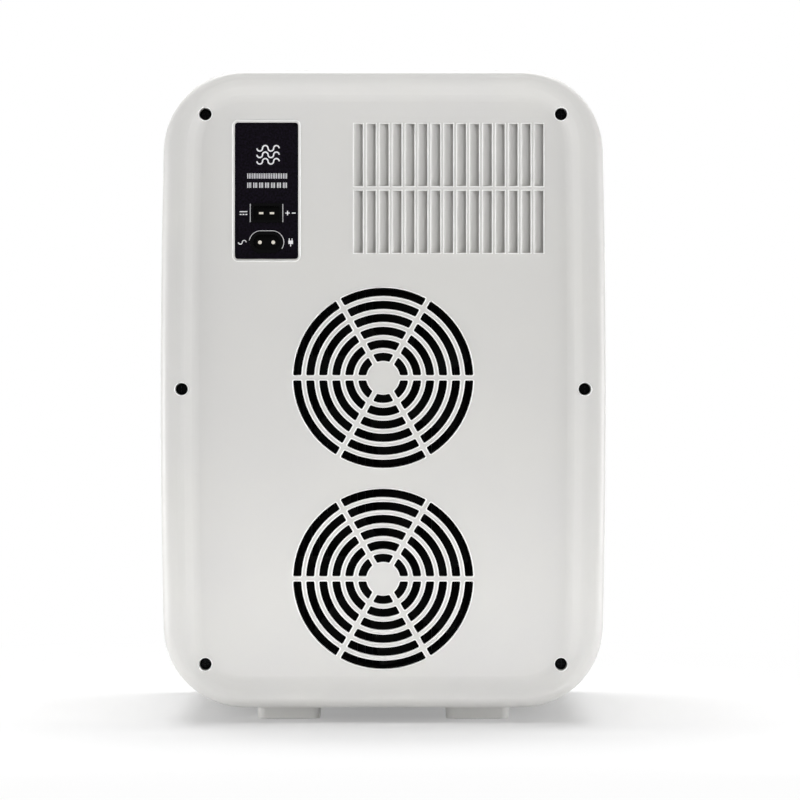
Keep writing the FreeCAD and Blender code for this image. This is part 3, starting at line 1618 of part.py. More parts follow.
def button(x):
    """A round cap with a collar under the panel and a stem above its switch."""
    top = z_control_face + button_proud
    under = z_control_face - control_plate
    cap = cyl_z(x, control_centre_y, button_radius, under - button_seat, top)
    cap = cap.makeFillet(button_edge, edges_at_z(cap, top))
    low = z_control_board + switch_height + plunger_height + button_travel + button_seat
    collar_low = under - button_seat - button_collar_depth
    collar = cyl_z(x, control_centre_y, button_radius + button_collar, max(low, collar_low),
                   under - button_seat)
    stem = cyl_z(x, control_centre_y, button_stem, low, under - button_seat)
    return join([cap, collar, stem])


def power_button():
    return button(button_xs[0])


def mode_button():
    return button(button_xs[1])


def set_button():
    return button(button_xs[2])


# ---------------------------------------------------------------- feet
def foot_wire(x, y, shrink, z):
    """A foot's rounded outline at a height."""
    hx, hy = foot_width / 2 - shrink, foot_length / 2 - shrink
    block = round_block(x - hx, x + hx, y - hy, y + hy, z, z + 1, foot_corner - shrink, V(0, 0, 1))
    return [f for f in block.Faces if abs(f.BoundBox.ZMax - z) < 1e-6][0].OuterWire


def foot_pad(x, y):
    """The rubber pad under a foot."""
    r = foot_corner - pad_margin / 2
    hx, hy = foot_width / 2 - pad_margin, foot_length / 2 - pad_margin
    return round_block(x - hx, x + hx, y - hy, y + hy, 0, pad_proud + pad_depth, r, V(0, 0, 1))


def z_foot_seat():
    """Where a foot screw's head bears."""
    return foot_height - foot_screw_head_depth


def feet():
    made = []
    for x, y in foot_places():
        foot = Part.makeLoft([foot_wire(x, y, foot_taper, pad_proud), foot_wire(x, y, 0, foot_height)],
                             True, True)
        foot = foot.cut(foot_pad(x, y))
        foot = foot.cut(cyl_z(x, y, foot_screw_head + screw_clearance, pad_proud, z_foot_seat()))
        foot = foot.cut(cyl_z(x, y, foot_screw_radius + screw_clearance, pad_proud,
                              foot_height + 1))
        made.append(foot)
    return group(made)


def foot_pads():
    return group([foot_pad(x, y) for x, y in foot_places()])


def foot_screws():
    seat = z_foot_seat()
    made = []
    for x, y in foot_places():
        head = cyl_z(x, y, foot_screw_head, seat - foot_screw_head_depth, seat)
        made.append(join([head, cyl_z(x, y, foot_screw_radius, seat, seat + foot_screw_length)]))
    return group(made)


# ---------------------------------------------------------------- the whole
def rear_fan_frames():
    return group(fan_pair(fan_frame, rear_fan, y_rear_open(), 1))


def inner_fan_frames():
    return group(fan_pair(fan_frame, inner_fan, y_inner_fan, -1))


def rear_fan_rotor_lower():
    return fan_rotor(rear_fan, 0, core_heights[0], y_rear_open(), 1)


def rear_fan_rotor_upper():
    return fan_rotor(rear_fan, 0, core_heights[1], y_rear_open(), 1)


def inner_fan_rotor_lower():
    return fan_rotor(inner_fan, 0, core_heights[0], y_inner_fan, -1)


def inner_fan_rotor_upper():
    return fan_rotor(inner_fan, 0, core_heights[1], y_inner_fan, -1)


makers = [
    outer_shell, front_frame, strike_strip, liner_sleeve, liner_back, cabinet_foam,
    rear_bulkhead,
    rear_cover, cover_screws, inlet_panel, dc_inlet, ac_inlet, inlet_pins,
    hot_heatsinks, cold_heatsinks, thermoelectric_modules, cold_blocks, module_seals,
    clamp_screws, rear_fan_frames, rear_fan_screws, rear_fan_rotor_lower, rear_fan_rotor_upper,
    inner_fan_frames, inner_fan_screws, inner_fan_rotor_lower, inner_fan_rotor_upper,
    inner_fan_cover, fan_cover_screws,
    power_board, board_screws, transformer, capacitors, board_heatsink, board_connectors,
    wiring_harness, upper_shelf, lower_shelf,
    hinge_leaves, hinge_screws, hinge_nut_plates, hinge_pins,
    door_outer_panel, door_foam, door_inner_panel, door_gasket, gasket_magnets, door_handle,
    door_rack_upper, door_rack_lower,
    control_panel, control_board, display_window, tact_switches,
    power_button, mode_button, set_button,
    feet, foot_pads, foot_screws,
]

os.makedirs("parts", exist_ok=True)
for make in makers:
    name = make.__name__
    shape = make()
    print(f"{name:26s} solids {len(shape.Solids):3d}  volume {shape.Volume / 1000:9.2f} cm3"
          f"  {'ok' if shape.isValid() else 'NOT VALID'}")
    shape.exportStep(f"parts/{name}.step")
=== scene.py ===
# %% [markdown]
# # A thermoelectric mini fridge, dressed in Blender
# The CAD model is already the right size and carries every working piece, so this lesson starts
# from it and adds what CAD doesn't hold: the finish of each surface, the small printed marks, and
# the soft or curved pieces that are easier to model by hand. We could model the whole object
# again in Blender, but then nothing would fit; loading the frame first keeps every piece where
# the joints expect it.

# %% Load the frame
import math

import bpy
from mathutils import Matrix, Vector
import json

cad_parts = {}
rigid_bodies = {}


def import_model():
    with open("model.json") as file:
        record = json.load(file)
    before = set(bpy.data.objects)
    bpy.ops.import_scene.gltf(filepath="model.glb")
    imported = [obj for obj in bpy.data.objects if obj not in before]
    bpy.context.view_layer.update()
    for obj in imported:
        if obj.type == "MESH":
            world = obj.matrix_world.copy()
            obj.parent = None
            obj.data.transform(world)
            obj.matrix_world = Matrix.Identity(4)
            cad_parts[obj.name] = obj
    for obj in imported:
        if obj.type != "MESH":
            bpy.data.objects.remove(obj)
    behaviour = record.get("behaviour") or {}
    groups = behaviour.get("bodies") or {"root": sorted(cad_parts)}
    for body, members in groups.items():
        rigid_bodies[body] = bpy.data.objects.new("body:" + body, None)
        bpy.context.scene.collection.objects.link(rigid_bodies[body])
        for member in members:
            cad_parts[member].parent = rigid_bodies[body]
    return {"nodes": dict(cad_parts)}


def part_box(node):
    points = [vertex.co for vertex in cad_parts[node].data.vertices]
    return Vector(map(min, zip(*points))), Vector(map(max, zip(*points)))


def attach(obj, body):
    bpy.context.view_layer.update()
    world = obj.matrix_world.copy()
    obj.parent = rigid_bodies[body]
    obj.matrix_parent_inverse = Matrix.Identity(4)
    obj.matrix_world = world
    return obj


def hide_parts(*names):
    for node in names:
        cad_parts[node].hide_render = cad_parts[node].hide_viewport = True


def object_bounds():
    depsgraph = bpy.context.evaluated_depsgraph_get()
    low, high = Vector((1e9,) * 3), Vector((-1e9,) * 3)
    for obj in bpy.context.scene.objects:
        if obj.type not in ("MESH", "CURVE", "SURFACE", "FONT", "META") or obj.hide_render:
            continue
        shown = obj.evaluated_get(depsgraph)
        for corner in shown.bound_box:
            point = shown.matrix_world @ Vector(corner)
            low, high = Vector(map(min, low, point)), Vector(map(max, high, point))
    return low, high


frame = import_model()
nodes = frame["nodes"]
cad_low, cad_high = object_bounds()
print("CAD nodes:", len(nodes), "size in mm:", [round(v * 1000) for v in cad_high - cad_low])

# %% [markdown]
# ## Working in millimetres
# The frame is in metres. Product drawings are in millimetres, so one constant turns one into the
# other and every length below can be read as on a drawing.

# %% Units and a few places
MM = 0.001


def middle(node):
    """The centre of a CAD node's box."""
    low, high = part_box(node)
    return (low + high) / 2


panel_low, panel_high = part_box("inlet_panel")
cover_low, cover_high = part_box("rear_cover")
print("rear cover in mm:", [round(v / MM) for v in cover_high - cover_low])

# %% [markdown]
# ## Camera
# The back of the fridge is seen square on, from far away, so a long lens is right: it keeps the
# sides from fanning out. The camera stands at half the height of the fridge and looks level, and
# a small lens shift puts the fridge a little left of the middle of the frame instead of turning
# the camera, which would show one of its sides.

# %% The camera
FRAME_WIDTH = 516.5 * MM         # how much is seen from side to side, at the rear face
LENS = 200.0
SENSOR = 36.0
LENS_SHIFT = (0.021, -0.004)     # in frame widths
FAR_END = 20                     # metres, past the backdrop
camera_data = bpy.data.cameras.new("camera")
camera_data.lens = LENS
camera_data.sensor_width = SENSOR
camera_data.shift_x, camera_data.shift_y = LENS_SHIFT
camera = bpy.data.objects.new("camera", camera_data)
bpy.context.scene.collection.objects.link(camera)
distance = FRAME_WIDTH * LENS / SENSOR
camera.location = (0, cad_high.y + distance, (cad_low.z + cad_high.z) / 2)
camera.rotation_euler = (math.radians(90), 0, math.radians(180))
camera_data.clip_end = FAR_END
bpy.context.scene.camera = camera
bpy.context.scene.view_settings.view_transform = "Standard"
print("camera distance in m:", round(distance, 2))

# %% [markdown]
# ## Light
# White plastic on a white ground needs light from all round, with just enough direction to show
# its shape. A large lamp hangs high on the door's side, so the floor behind the fridge keeps a
# soft shadow. The rear face gets grazing light instead: a strip on each side catches the raised
# rim, a narrow lamp from above lights its top, and small ones near the floor its foot and feet.
# The world fills in the rest. It is pure white, and so is the far floor, but only to a direct
# look, in a mirror or through clear plastic: the object gets no extra light from that.

# %% World, lamps and floor
def add(tree, kind, settings=None, inputs=None):
    """Add a shader node. Settings are its own properties. Inputs are keyed by name or number, and
    each is a plain value or another node's output socket to link."""
    node = tree.nodes.new(kind)
    for name, value in (settings or {}).items():
        setattr(node, name, value)
    for key, value in (inputs or {}).items():
        if isinstance(value, bpy.types.NodeSocket):
            tree.links.new(value, node.inputs[key])
        else:
            node.inputs[key].default_value = value
    return node


def linear(code):
    """An sRGB hex colour as the linear red, green, blue and alpha that shaders use."""
    channels = [int(code[i:i + 2], 16) / 255 for i in (1, 3, 5)]
    return tuple(c / 12.92 if c <= 0.04045 else ((c + 0.055) / 1.055) ** 2.4
                 for c in channels) + (1.0,)


def seen_directly(tree):
    """1 where the camera, a mirror or clear plastic looks straight at a surface, else 0."""
    path = add(tree, "ShaderNodeLightPath")
    first = add(tree, "ShaderNodeMath", {"operation": "MAXIMUM"},
                {0: path.outputs["Is Camera Ray"], 1: path.outputs["Is Glossy Ray"]})
    return add(tree, "ShaderNodeMath", {"operation": "MAXIMUM"},
               {0: first.outputs[0], 1: path.outputs["Is Transmission Ray"]}).outputs[0]


WORLD_FILL = 0.06
world = bpy.data.worlds.new("studio")
bpy.context.scene.world = world
world.use_nodes = True
world.node_tree.nodes.clear()
fill = add(world.node_tree, "ShaderNodeBackground", inputs={"Color": (1, 1, 1, 1),
                                                             "Strength": WORLD_FILL})
white = add(world.node_tree, "ShaderNodeBackground", inputs={"Color": (1, 1, 1, 1),
                                                              "Strength": 1.0})
either = add(world.node_tree, "ShaderNodeMixShader",
             inputs={0: seen_directly(world.node_tree), 1: fill.outputs[0], 2: white.outputs[0]})
add(world.node_tree, "ShaderNodeOutputWorld", inputs={"Surface": either.outputs[0]})


def lamp(name, place, target, size, watts):
    """A rectangular area lamp that points at a target."""
    data = bpy.data.lights.new(name, "AREA")
    data.shape = "RECTANGLE"
    data.size, data.size_y = size
    data.energy = watts
    obj = bpy.data.objects.new(name, data)
    bpy.context.scene.collection.objects.link(obj)
    obj.location = place
    obj.rotation_euler = (Vector(target) - Vector(place)).to_track_quat("-Z", "Y").to_euler()
    return obj


# each lamp's place and target in metres, its size in metres and its power in watts
heart = (0, 0, 0.21)
lamp("overhead", (0, -1.1, 3.9), heart, (3.3, 2.2), 158)
lamp("top", (0, 0.55, 0.72), (0, 0.16, 0.4), (0.7, 0.12), 1.45)
lamp("low left", (1.3, 1.9, 0.2), (0, 0.16, 0.18), (0.4, 0.3), 0.9)
lamp("low right", (-1.3, 1.9, 0.2), (0, 0.16, 0.18), (0.4, 0.3), 0.9)
lamp("strip left", (1.3, 0.36, 0.17), (0, 0.16, 0.2), (0.2, 0.34), 6.3)
lamp("strip right", (-1.3, 0.36, 0.17), (0, 0.16, 0.2), (0.2, 0.34), 5.9)
lamp("feet left", (0.35, 0.42, 0.03), (0, 0.16, 0.03), (0.25, 0.05), 0.14)
lamp("feet right", (-0.35, 0.42, 0.03), (0, 0.16, 0.03), (0.25, 0.05), 0.14)
lamp("foot of the face", (0, 0.29, 0.012), (0, 0.16, 0.3), (0.36, 0.02), 0.17)
lamp("door side", (0.4, -2.0, 0.9), heart, (1.6, 1.2), 7)

FLOOR_SIDE = 12
FLOOR_GLOW = 0.3                 # the share of pure white near the fridge
NEAR, FAR = 0.3, 0.8             # metres from the middle, between which the floor turns white
bpy.ops.mesh.primitive_plane_add(size=FLOOR_SIDE, location=(0, 0, 0))
floor = bpy.context.object
floor.name = "floor"
floor_paint = bpy.data.materials.new("matt white backdrop paper")
floor_paint.use_nodes = True
tree = floor_paint.node_tree
tree.nodes.clear()
paper = add(tree, "ShaderNodeBsdfDiffuse", inputs={"Color": linear("#F4F4F4")})
glow = add(tree, "ShaderNodeEmission", inputs={"Color": (1, 1, 1, 1), "Strength": 1.0})
away = add(tree, "ShaderNodeVectorMath", {"operation": "LENGTH"},
           {0: add(tree, "ShaderNodeTexCoord").outputs["Object"]}).outputs["Value"]
far = add(tree, "ShaderNodeMapRange", inputs={0: away, 1: NEAR, 2: FAR, 3: FLOOR_GLOW, 4: 1.0})
share = add(tree, "ShaderNodeMath", {"operation": "MULTIPLY"},
            {0: seen_directly(tree), 1: far.outputs[0]})
either = add(tree, "ShaderNodeMixShader",
             inputs={0: share.outputs[0], 1: paper.outputs[0], 2: glow.outputs[0]})
add(tree, "ShaderNodeOutputMaterial", inputs={"Surface": either.outputs[0]})
floor.data.materials.append(floor_paint)

# %% [markdown]
# ## Moulded shell plastic
# The outer shell, rear cover, door and feet are injection-moulded ABS in a warm off-white. The
# mould is lightly spark-eroded, which leaves a fine grain and a satin sheen. A flat colour would
# look like paper, so the grain goes into the bump, and the sheen and tint drift a little over a
# few centimetres, as they do where the plastic flowed and cooled. The real grain is about a
# tenth of a millimetre, too fine to show, so it is drawn at half a millimetre or more.

# %% Helpers for procedural finishes
def new_finish(name, colour, roughness, ior=1.5, metallic=0.0):
    """A material with a Principled shader at its starting values."""
    material = bpy.data.materials.new(name)
    material.use_nodes = True
    tree = material.node_tree
    tree.nodes.clear()
    shader = add(tree, "ShaderNodeBsdfPrincipled",
                 inputs={"Base Color": linear(colour), "Roughness": roughness,
                         "Metallic": metallic})
    if metallic < 0.5:
        shader.inputs["IOR"].default_value = ior
    add(tree, "ShaderNodeOutputMaterial", inputs={"Surface": shader.outputs[0]})
    return material, tree, shader


def speckle(tree, size_mm, detail=2.0, stretch=(1, 1, 1)):
    """A pattern of blotches about size_mm across, drawn out along the axes whose stretch is low."""
    spot = add(tree, "ShaderNodeTexCoord").outputs["Object"]     # in metres on the object
    turned = add(tree, "ShaderNodeMapping", inputs={"Vector": spot, "Scale": stretch})
    return add(tree, "ShaderNodeTexNoise",
               inputs={"Vector": turned.outputs[0], "Scale": 1 / (size_mm * MM),
                       "Detail": detail}).outputs[0]


NOISE_LOW, NOISE_HIGH = 0.35, 0.65       # noise seldom leaves this range


def vary(tree, shader, pattern, tints=None, sheen=None, dent_mm=None, spread=False):
    """Let a pattern of 0 to 1 work on a finish: it blends two tints, it drifts between two
    roughnesses, and it dents the surface by dent_mm. Spread stretches the noise's range to 0 to
    1 first, which makes its blotches plainer."""
    ends = {0: pattern, 1: NOISE_LOW, 2: NOISE_HIGH}
    if sheen:
        drift = add(tree, "ShaderNodeMapRange", inputs={**ends, 3: sheen[0], 4: sheen[1]})
        tree.links.new(drift.outputs[0], shader.inputs["Roughness"])
    if spread:
        pattern = add(tree, "ShaderNodeMapRange", inputs={**ends, 3: 0, 4: 1}).outputs[0]
    if tints:
        blend = add(tree, "ShaderNodeMix", {"data_type": "RGBA"},
                    {0: pattern, 6: linear(tints[0]), 7: linear(tints[1])})
        tree.links.new(blend.outputs[2], shader.inputs["Base Color"])
    if dent_mm:
        bump = add(tree, "ShaderNodeBump", inputs={"Distance": dent_mm * MM, "Height": pattern})
        tree.links.new(bump.outputs[0], shader.inputs["Normal"])


# %% Off-white moulded ABS
def moulded_plastic(name, colour, second, grain_mm, grain_depth_mm, rough_low, rough_high):
    """Injection-moulded plastic: a fine grain, and a slow drift of tint and sheen."""
    material, tree, shader = new_finish(name, colour, rough_low, ior=1.53)
    vary(tree, shader, speckle(tree, 60), tints=(colour, second), spread=True)
    vary(tree, shader, speckle(tree, 25), sheen=(rough_low, rough_high))
    vary(tree, shader, speckle(tree, grain_mm, detail=1.0), dent_mm=grain_depth_mm)
    return material


shell_abs = moulded_plastic("off-white moulded ABS, spark-eroded", "#DAD9D6", "#D8D7D5", 0.6,
                            0.008, 0.36, 0.385)

liner_hips = moulded_plastic("white vacuum-formed polystyrene", "#E2E3E2", "#DFE0DF", 3.0,
                             0.006, 0.2, 0.24)
# painted highlight: the beads round the openings are near-white, lighter than the shell, on a real
# rounded edge
bead_painted_highlight = moulded_plastic("white moulded ABS bead, painted highlight", "#FBFBFA", "#F7F7F6", 0.6,
                             0.002, 0.3, 0.36)
black_abs = moulded_plastic("black moulded ABS, coarse grain", "#0B090D", "#17121C", 0.8,
                            0.05, 0.45, 0.6)


def deep_black(name, colour, second, roughness, grain_mm, sheen_level):
    """A black that stays dark in bright light: blotches of two blacks, and weak reflections."""
    material, tree, shader = new_finish(name, colour, roughness)
    shader.inputs["Specular IOR Level"].default_value = sheen_level
    vary(tree, shader, speckle(tree, grain_mm, detail=1.0), tints=(colour, second), dent_mm=0.03,
         spread=True)
    return material


panel_film = deep_black("black flocked label film", "#030204", "#120D18", 0.7, 1.3, 0.05)
gloss_black = deep_black("black polished ABS", "#050506", "#08080A", 0.12, 0.9, 0.22)
socket_black = deep_black("black nylon, smooth tool", "#040405", "#060607", 0.16, 0.8, 0.05)
fan_pbt = deep_black("black glass-filled PBT", "#050505", "#090909", 0.75, 0.8, 0.12)
grey_soft = moulded_plastic("grey soft-touch plastic", "#8E9092", "#898B8E", 0.5, 0.008, 0.5, 0.6)
print("moulded plastics ready")

# %% [markdown]
# ## Metals
# Extruded and milled aluminium carries fine lines along its length. Steel screws and hinges are
# zinc plated: brighter, with blotchy crystals. The shelves are wire with a thick white powder
# coat, which is slightly lumpy, like orange peel. Real lines and crystals are too fine to show,
# so both are drawn several times as coarse.

# %% Aluminium, steel, brass and powder coat
def drawn_metal(name, colour, second, roughness, line_mm, along=2):
    """Metal with fine lines along one axis (0 is X, 1 is Y, 2 is Z)."""
    material, tree, shader = new_finish(name, colour, roughness, metallic=1.0)
    stretch = [1.0, 1.0, 1.0]
    stretch[along] = 0.02
    lines = speckle(tree, line_mm, detail=3.0, stretch=stretch)
    vary(tree, shader, lines, tints=(colour, second), spread=True)
    vary(tree, shader, lines, sheen=(roughness * 0.8, roughness * 1.3), dent_mm=0.02)
    return material


bare_aluminium = drawn_metal("extruded aluminium", "#C9CBCD", "#B9BBBE", 0.35, 0.8)
black_anodised = drawn_metal("black anodised aluminium", "#101012", "#17171A", 0.45, 0.8)
machined_aluminium = drawn_metal("milled aluminium block", "#CFD1D3", "#BFC1C4", 0.28, 0.6, 0)


def plated_metal(name, colour, second, roughness, crystal_mm):
    """Plated metal with faint crystals."""
    material, tree, shader = new_finish(name, colour, roughness, metallic=1.0)
    spot = add(tree, "ShaderNodeTexCoord").outputs["Object"]
    crystals = add(tree, "ShaderNodeTexVoronoi",
                   inputs={"Vector": spot, "Scale": 1 / (crystal_mm * MM)})
    grey = add(tree, "ShaderNodeRGBToBW", inputs={0: crystals.outputs["Color"]}).outputs[0]
    vary(tree, shader, grey, tints=(colour, second), sheen=(roughness * 0.85, roughness * 1.2))
    vary(tree, shader, speckle(tree, 0.5), dent_mm=0.008)
    return material


zinc_steel = plated_metal("zinc-plated steel", "#C4C6C8", "#AEB1B4", 0.3, 1.5)
black_oxide = plated_metal("black oxide steel", "#0C0C0D", "#141415", 0.4, 1.0)
nickel_pins = plated_metal("nickel-plated brass", "#E3DED2", "#CFC9BB", 0.2, 0.8)


def powder_coat(name, colour, second):
    """Thick sprayed and baked paint with an orange-peel surface."""
    material, tree, shader = new_finish(name, colour, 0.25, ior=1.5)
    vary(tree, shader, speckle(tree, 1.2, detail=1.0), tints=(colour, second), dent_mm=0.04)
    return material


shelf_coat = powder_coat("white powder-coated wire", "#EAEBEA", "#E2E3E2")
print("metals ready")

# %% [markdown]
# ## Rubber, foam, ceramic and electrical finishes
# These are the pieces behind the covers and the soft ones round the door. Foam is mostly its
# cells, so a cell pattern gives both its colour and its dents, drawn at 2 mm because real cells
# are too fine to show. The circuit board is green lacquer over copper, so its tracks show as
# slightly raised paths of a second green.

# %% Soft and electrical finishes
def rubber(name, colour, second, roughness):
    """Moulded rubber or soft vinyl: dull, with a faint bloom."""
    material, tree, shader = new_finish(name, colour, roughness, ior=1.52)
    vary(tree, shader, speckle(tree, 8), tints=(colour, second), spread=True)
    vary(tree, shader, speckle(tree, 0.7), dent_mm=0.02)
    return material


white_vinyl = rubber("white soft vinyl", "#DADAD8", "#D2D2D0", 0.55)
grey_rubber = rubber("dark grey rubber", "#2A2A2B", "#323233", 0.8)
magnet_rubber = rubber("rubber-bonded ferrite", "#2B2522", "#241F1D", 0.7)
seal_foam = rubber("black sealing foam", "#161617", "#1E1E1F", 0.95)


def rigid_foam(name, colour, second, cell_mm):
    """Rigid polyurethane foam, cut or moulded, with open cells."""
    material, tree, shader = new_finish(name, colour, 0.9, ior=1.45)
    spot = add(tree, "ShaderNodeTexCoord").outputs["Object"]
    cells = add(tree, "ShaderNodeTexVoronoi",
                inputs={"Vector": spot, "Scale": 1 / (cell_mm * MM)}).outputs["Distance"]
    vary(tree, shader, cells, tints=(colour, second), dent_mm=0.4)
    return material


yellow_foam = rigid_foam("rigid polyurethane foam", "#E4D49A", "#F0E6BC", 2.0)


def circuit_board(name, lacquer, track_colour, pitch_mm):
    """Green lacquer over copper tracks: straight runs on two layers of a square grid."""
    material, tree, shader = new_finish(name, lacquer, 0.3, ior=1.5)
    spot = add(tree, "ShaderNodeTexCoord").outputs["Object"]
    turned = add(tree, "ShaderNodeMapping",
                 inputs={"Vector": spot, "Rotation": (math.radians(90), 0, 0)})
    tracks = add(tree, "ShaderNodeTexBrick", {"offset": 0.5, "squash": 1.0},
                 {"Vector": turned.outputs[0], "Scale": 1 / (pitch_mm * MM), "Mortar Size": 0.12,
                  "Brick Width": 3.0, "Row Height": 1.0, "Color1": linear("#FFFFFF"),
                  "Color2": linear("#FFFFFF"), "Mortar": linear("#000000")})
    vary(tree, shader, tracks.outputs["Fac"], tints=(lacquer, track_colour), dent_mm=0.03)
    return material


green_board = circuit_board("green lacquered circuit board", "#0E3B24", "#1C5C38", 2.5)
ceramic_plate = moulded_plastic("white alumina ceramic", "#E9E8E2", "#E0DFD8", 0.8, 0.01,
                                0.5, 0.6)
winding_tape = moulded_plastic("yellow polyester tape", "#C9A93A", "#BD9C2F", 1.5, 0.02, 0.3, 0.4)
can_sleeve = moulded_plastic("dark blue shrink sleeve", "#10131F", "#161A28", 1.0, 0.01, 0.2, 0.3)
nylon = moulded_plastic("natural nylon", "#DDD8C6", "#D5CFBB", 1.0, 0.01, 0.4, 0.5)
wire_vinyl = rubber("black wire insulation", "#141415", "#1B1B1C", 0.45)


def clear_plastic(name, colour, roughness, clear):
    """See-through plastic with faint flow lines."""
    material, tree, shader = new_finish(name, colour, roughness, ior=1.57)
    shader.inputs["Transmission Weight"].default_value = clear
    flow = speckle(tree, 12, stretch=(1, 1, 0.3))
    vary(tree, shader, flow, sheen=(roughness, roughness + 0.06), dent_mm=0.05)
    return material


frosted_san = clear_plastic("frosted clear SAN", "#E4EBEE", 0.18, 0.75)
smoked_acrylic = clear_plastic("smoked acrylic", "#77777F", 0.03, 0.92)
print("finishes:", len(bpy.data.materials))

# %% [markdown]
# ## Dress the CAD pieces
# Each CAD node keeps its exact shape and only gets a finish. A table from finish to nodes reads
# like the bill of materials that a factory would use.

# %% Give every CAD node its finish
finish_of_nodes = [
    (shell_abs, ["outer_shell", "rear_cover", "door_outer_panel", "feet"]),
    (liner_hips, ["front_frame", "liner_sleeve", "liner_back", "door_inner_panel",
                  "inner_fan_cover"]),
    (panel_film, ["inlet_panel"]),
    (socket_black, ["dc_inlet", "ac_inlet"]),
    (gloss_black, ["control_panel"]),
    (black_abs, ["rear_bulkhead", "tact_switches"]),
    (fan_pbt, ["rear_fan_frames", "rear_fan_rotor_lower", "rear_fan_rotor_upper",
               "inner_fan_frames", "inner_fan_rotor_lower", "inner_fan_rotor_upper"]),
    (grey_soft, ["door_handle", "power_button", "mode_button", "set_button"]),
    (bare_aluminium, ["cold_heatsinks", "board_heatsink"]),
    (black_anodised, ["hot_heatsinks"]),
    (machined_aluminium, ["cold_blocks"]),
    (zinc_steel, ["strike_strip", "clamp_screws", "inner_fan_screws", "fan_cover_screws",
                  "board_screws", "hinge_leaves", "hinge_screws", "hinge_nut_plates",
                  "hinge_pins", "foot_screws"]),
    (black_oxide, ["cover_screws", "rear_fan_screws"]),
    (nickel_pins, ["inlet_pins"]),
    (shelf_coat, ["upper_shelf", "lower_shelf"]),
    (white_vinyl, ["door_gasket"]),
    (grey_rubber, ["foot_pads"]),
    (magnet_rubber, ["gasket_magnets"]),
    (seal_foam, ["module_seals"]),
    (yellow_foam, ["cabinet_foam", "door_foam"]),
    (green_board, ["power_board", "control_board"]),
    (ceramic_plate, ["thermoelectric_modules"]),
    (winding_tape, ["transformer"]),
    (can_sleeve, ["capacitors"]),
    (nylon, ["board_connectors"]),
    (wire_vinyl, ["wiring_harness"]),
    (frosted_san, ["door_rack_upper", "door_rack_lower"]),
    (smoked_acrylic, ["display_window"]),
]
dressed = set()
for finish, names in finish_of_nodes:
    for name in names:
        mesh = nodes[name].data
        mesh.materials.clear()
        mesh.materials.append(finish)
        dressed.add(name)
print("dressed", len(dressed), "nodes; left bare:", sorted(set(nodes) - dressed))

# %% [markdown]
# ## Modelling by hand, in code
# The next pieces are made as at the screen: open an empty mesh, add a plane at its size and
# place, then spin, extrude or bisect what is selected. A few small helpers keep that short. They
# open a piece, lay down a flat bar, pick points or faces by a test, and thicken flat work. The
# last one closes the piece, turns its faces outwards and lets it ride on a body of the frame.

# %% Helpers for edit mode
DOUBLES = 0.002 * MM             # points nearer than this are one point
SAME = 0.01                      # millimetres within which two places count as the same


def edit_only(obj):
    """Deselect everything else and go into edit mode."""
    bpy.ops.object.select_all(action="DESELECT")
    bpy.context.view_layer.objects.active = obj
    obj.select_set(True)
    bpy.ops.object.mode_set(mode="EDIT")


def start_piece(name, copy_of=None):
    """A mesh object at the origin, in edit mode: empty, or a merged copy of a CAD node."""
    mesh = nodes[copy_of].data.copy() if copy_of else bpy.data.meshes.new(name)
    obj = bpy.data.objects.new(name, mesh)
    bpy.context.scene.collection.objects.link(obj)
    edit_only(obj)
    if copy_of:
        bpy.ops.mesh.select_all(action="SELECT")
        bpy.ops.mesh.remove_doubles(threshold=DOUBLES)
    return obj


def bar(place_mm, wide, high, facing="Y"):
    """A flat bar, in millimetres, whose face looks along +Y or +Z."""
    spot = Vector(place_mm) * MM
    turn = (math.radians(-90), 0, 0) if facing == "Y" else (0, 0, 0)
    bpy.ops.mesh.primitive_plane_add(size=1, location=spot, rotation=turn)
    size = (wide * MM, 1, high * MM) if facing == "Y" else (wide * MM, high * MM, 1)
    bpy.ops.transform.resize(value=size, center_override=spot)


def pick(obj, kind, test):
    """Select the points or faces for which the test is true, and nothing else."""
    bpy.ops.mesh.select_mode(type=kind)
    bpy.ops.mesh.select_all(action="DESELECT")
    bpy.ops.object.mode_set(mode="OBJECT")
    for item in obj.data.vertices if kind == "VERT" else obj.data.polygons:
        item.select = test(item)
    bpy.ops.object.mode_set(mode="EDIT")


def points(obj):
    """How many points a piece has so far, counted while it is in edit mode."""
    obj.update_from_editmode()
    return len(obj.data.vertices)


def thicken(move_mm):
    """Extrude everything in the piece by a move in millimetres."""
    bpy.ops.mesh.select_all(action="SELECT")
    bpy.ops.mesh.extrude_region_move(TRANSFORM_OT_translate={"value": Vector(move_mm) * MM})


def close_piece(obj, finish, body, smooth_angle=40):
    """Leave edit mode, give the piece its finish and let it ride on a body."""
    bpy.ops.mesh.select_all(action="SELECT")
    bpy.ops.mesh.remove_doubles(threshold=DOUBLES)
    bpy.ops.mesh.normals_make_consistent(inside=False)
    bpy.ops.object.mode_set(mode="OBJECT")
    bpy.ops.object.shade_smooth_by_angle(angle=math.radians(smooth_angle))
    obj.data.materials.clear()
    obj.data.materials.append(finish)
    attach(obj, body)
    print(obj.name, "has", len(obj.data.polygons), "faces and rides on", body)


# %% [markdown]
# ## White beads round the openings
# Each slot of the grilles, each screw well and the frame of the inlets ends in a thin rounded bead,
# a little glossier than the shell. Its near-white colour, lighter than the shell, is a painted
# highlight for the light that the rounded edge catches. Drawing several dozen outlines again would
# invite mistakes. The cover already holds them: its flat field is selected, the field's border
# loops are taken off as loose edges, the outermost loop is thrown away, and the rest becomes a
# round wire.

# %% Take the outlines from the rear cover
BEAD_RADIUS = 0.38
FIELD_Y = 156 * MM
WELLS = [(115.0, 393.8), (130.3, 216.0), (115.0, 38.2)]     # on each side, in millimetres
WELL_RADIUS, MOUTH_RADIUS = 4.0, 4.9
MOUTH_LOW = 150 * MM             # the rounded mouths lie beyond this, and the wells' floors don't
RING_WIDER = 1.09                # how much wider a well's rounded mouth is than its wall
RING_RISE = 0.7


def from_well(spot):
    """How far a place is from the axis of the nearest screw well, in millimetres."""
    return min(math.hypot(abs(spot.x) / MM - x, spot.z / MM - z) for x, z in WELLS)


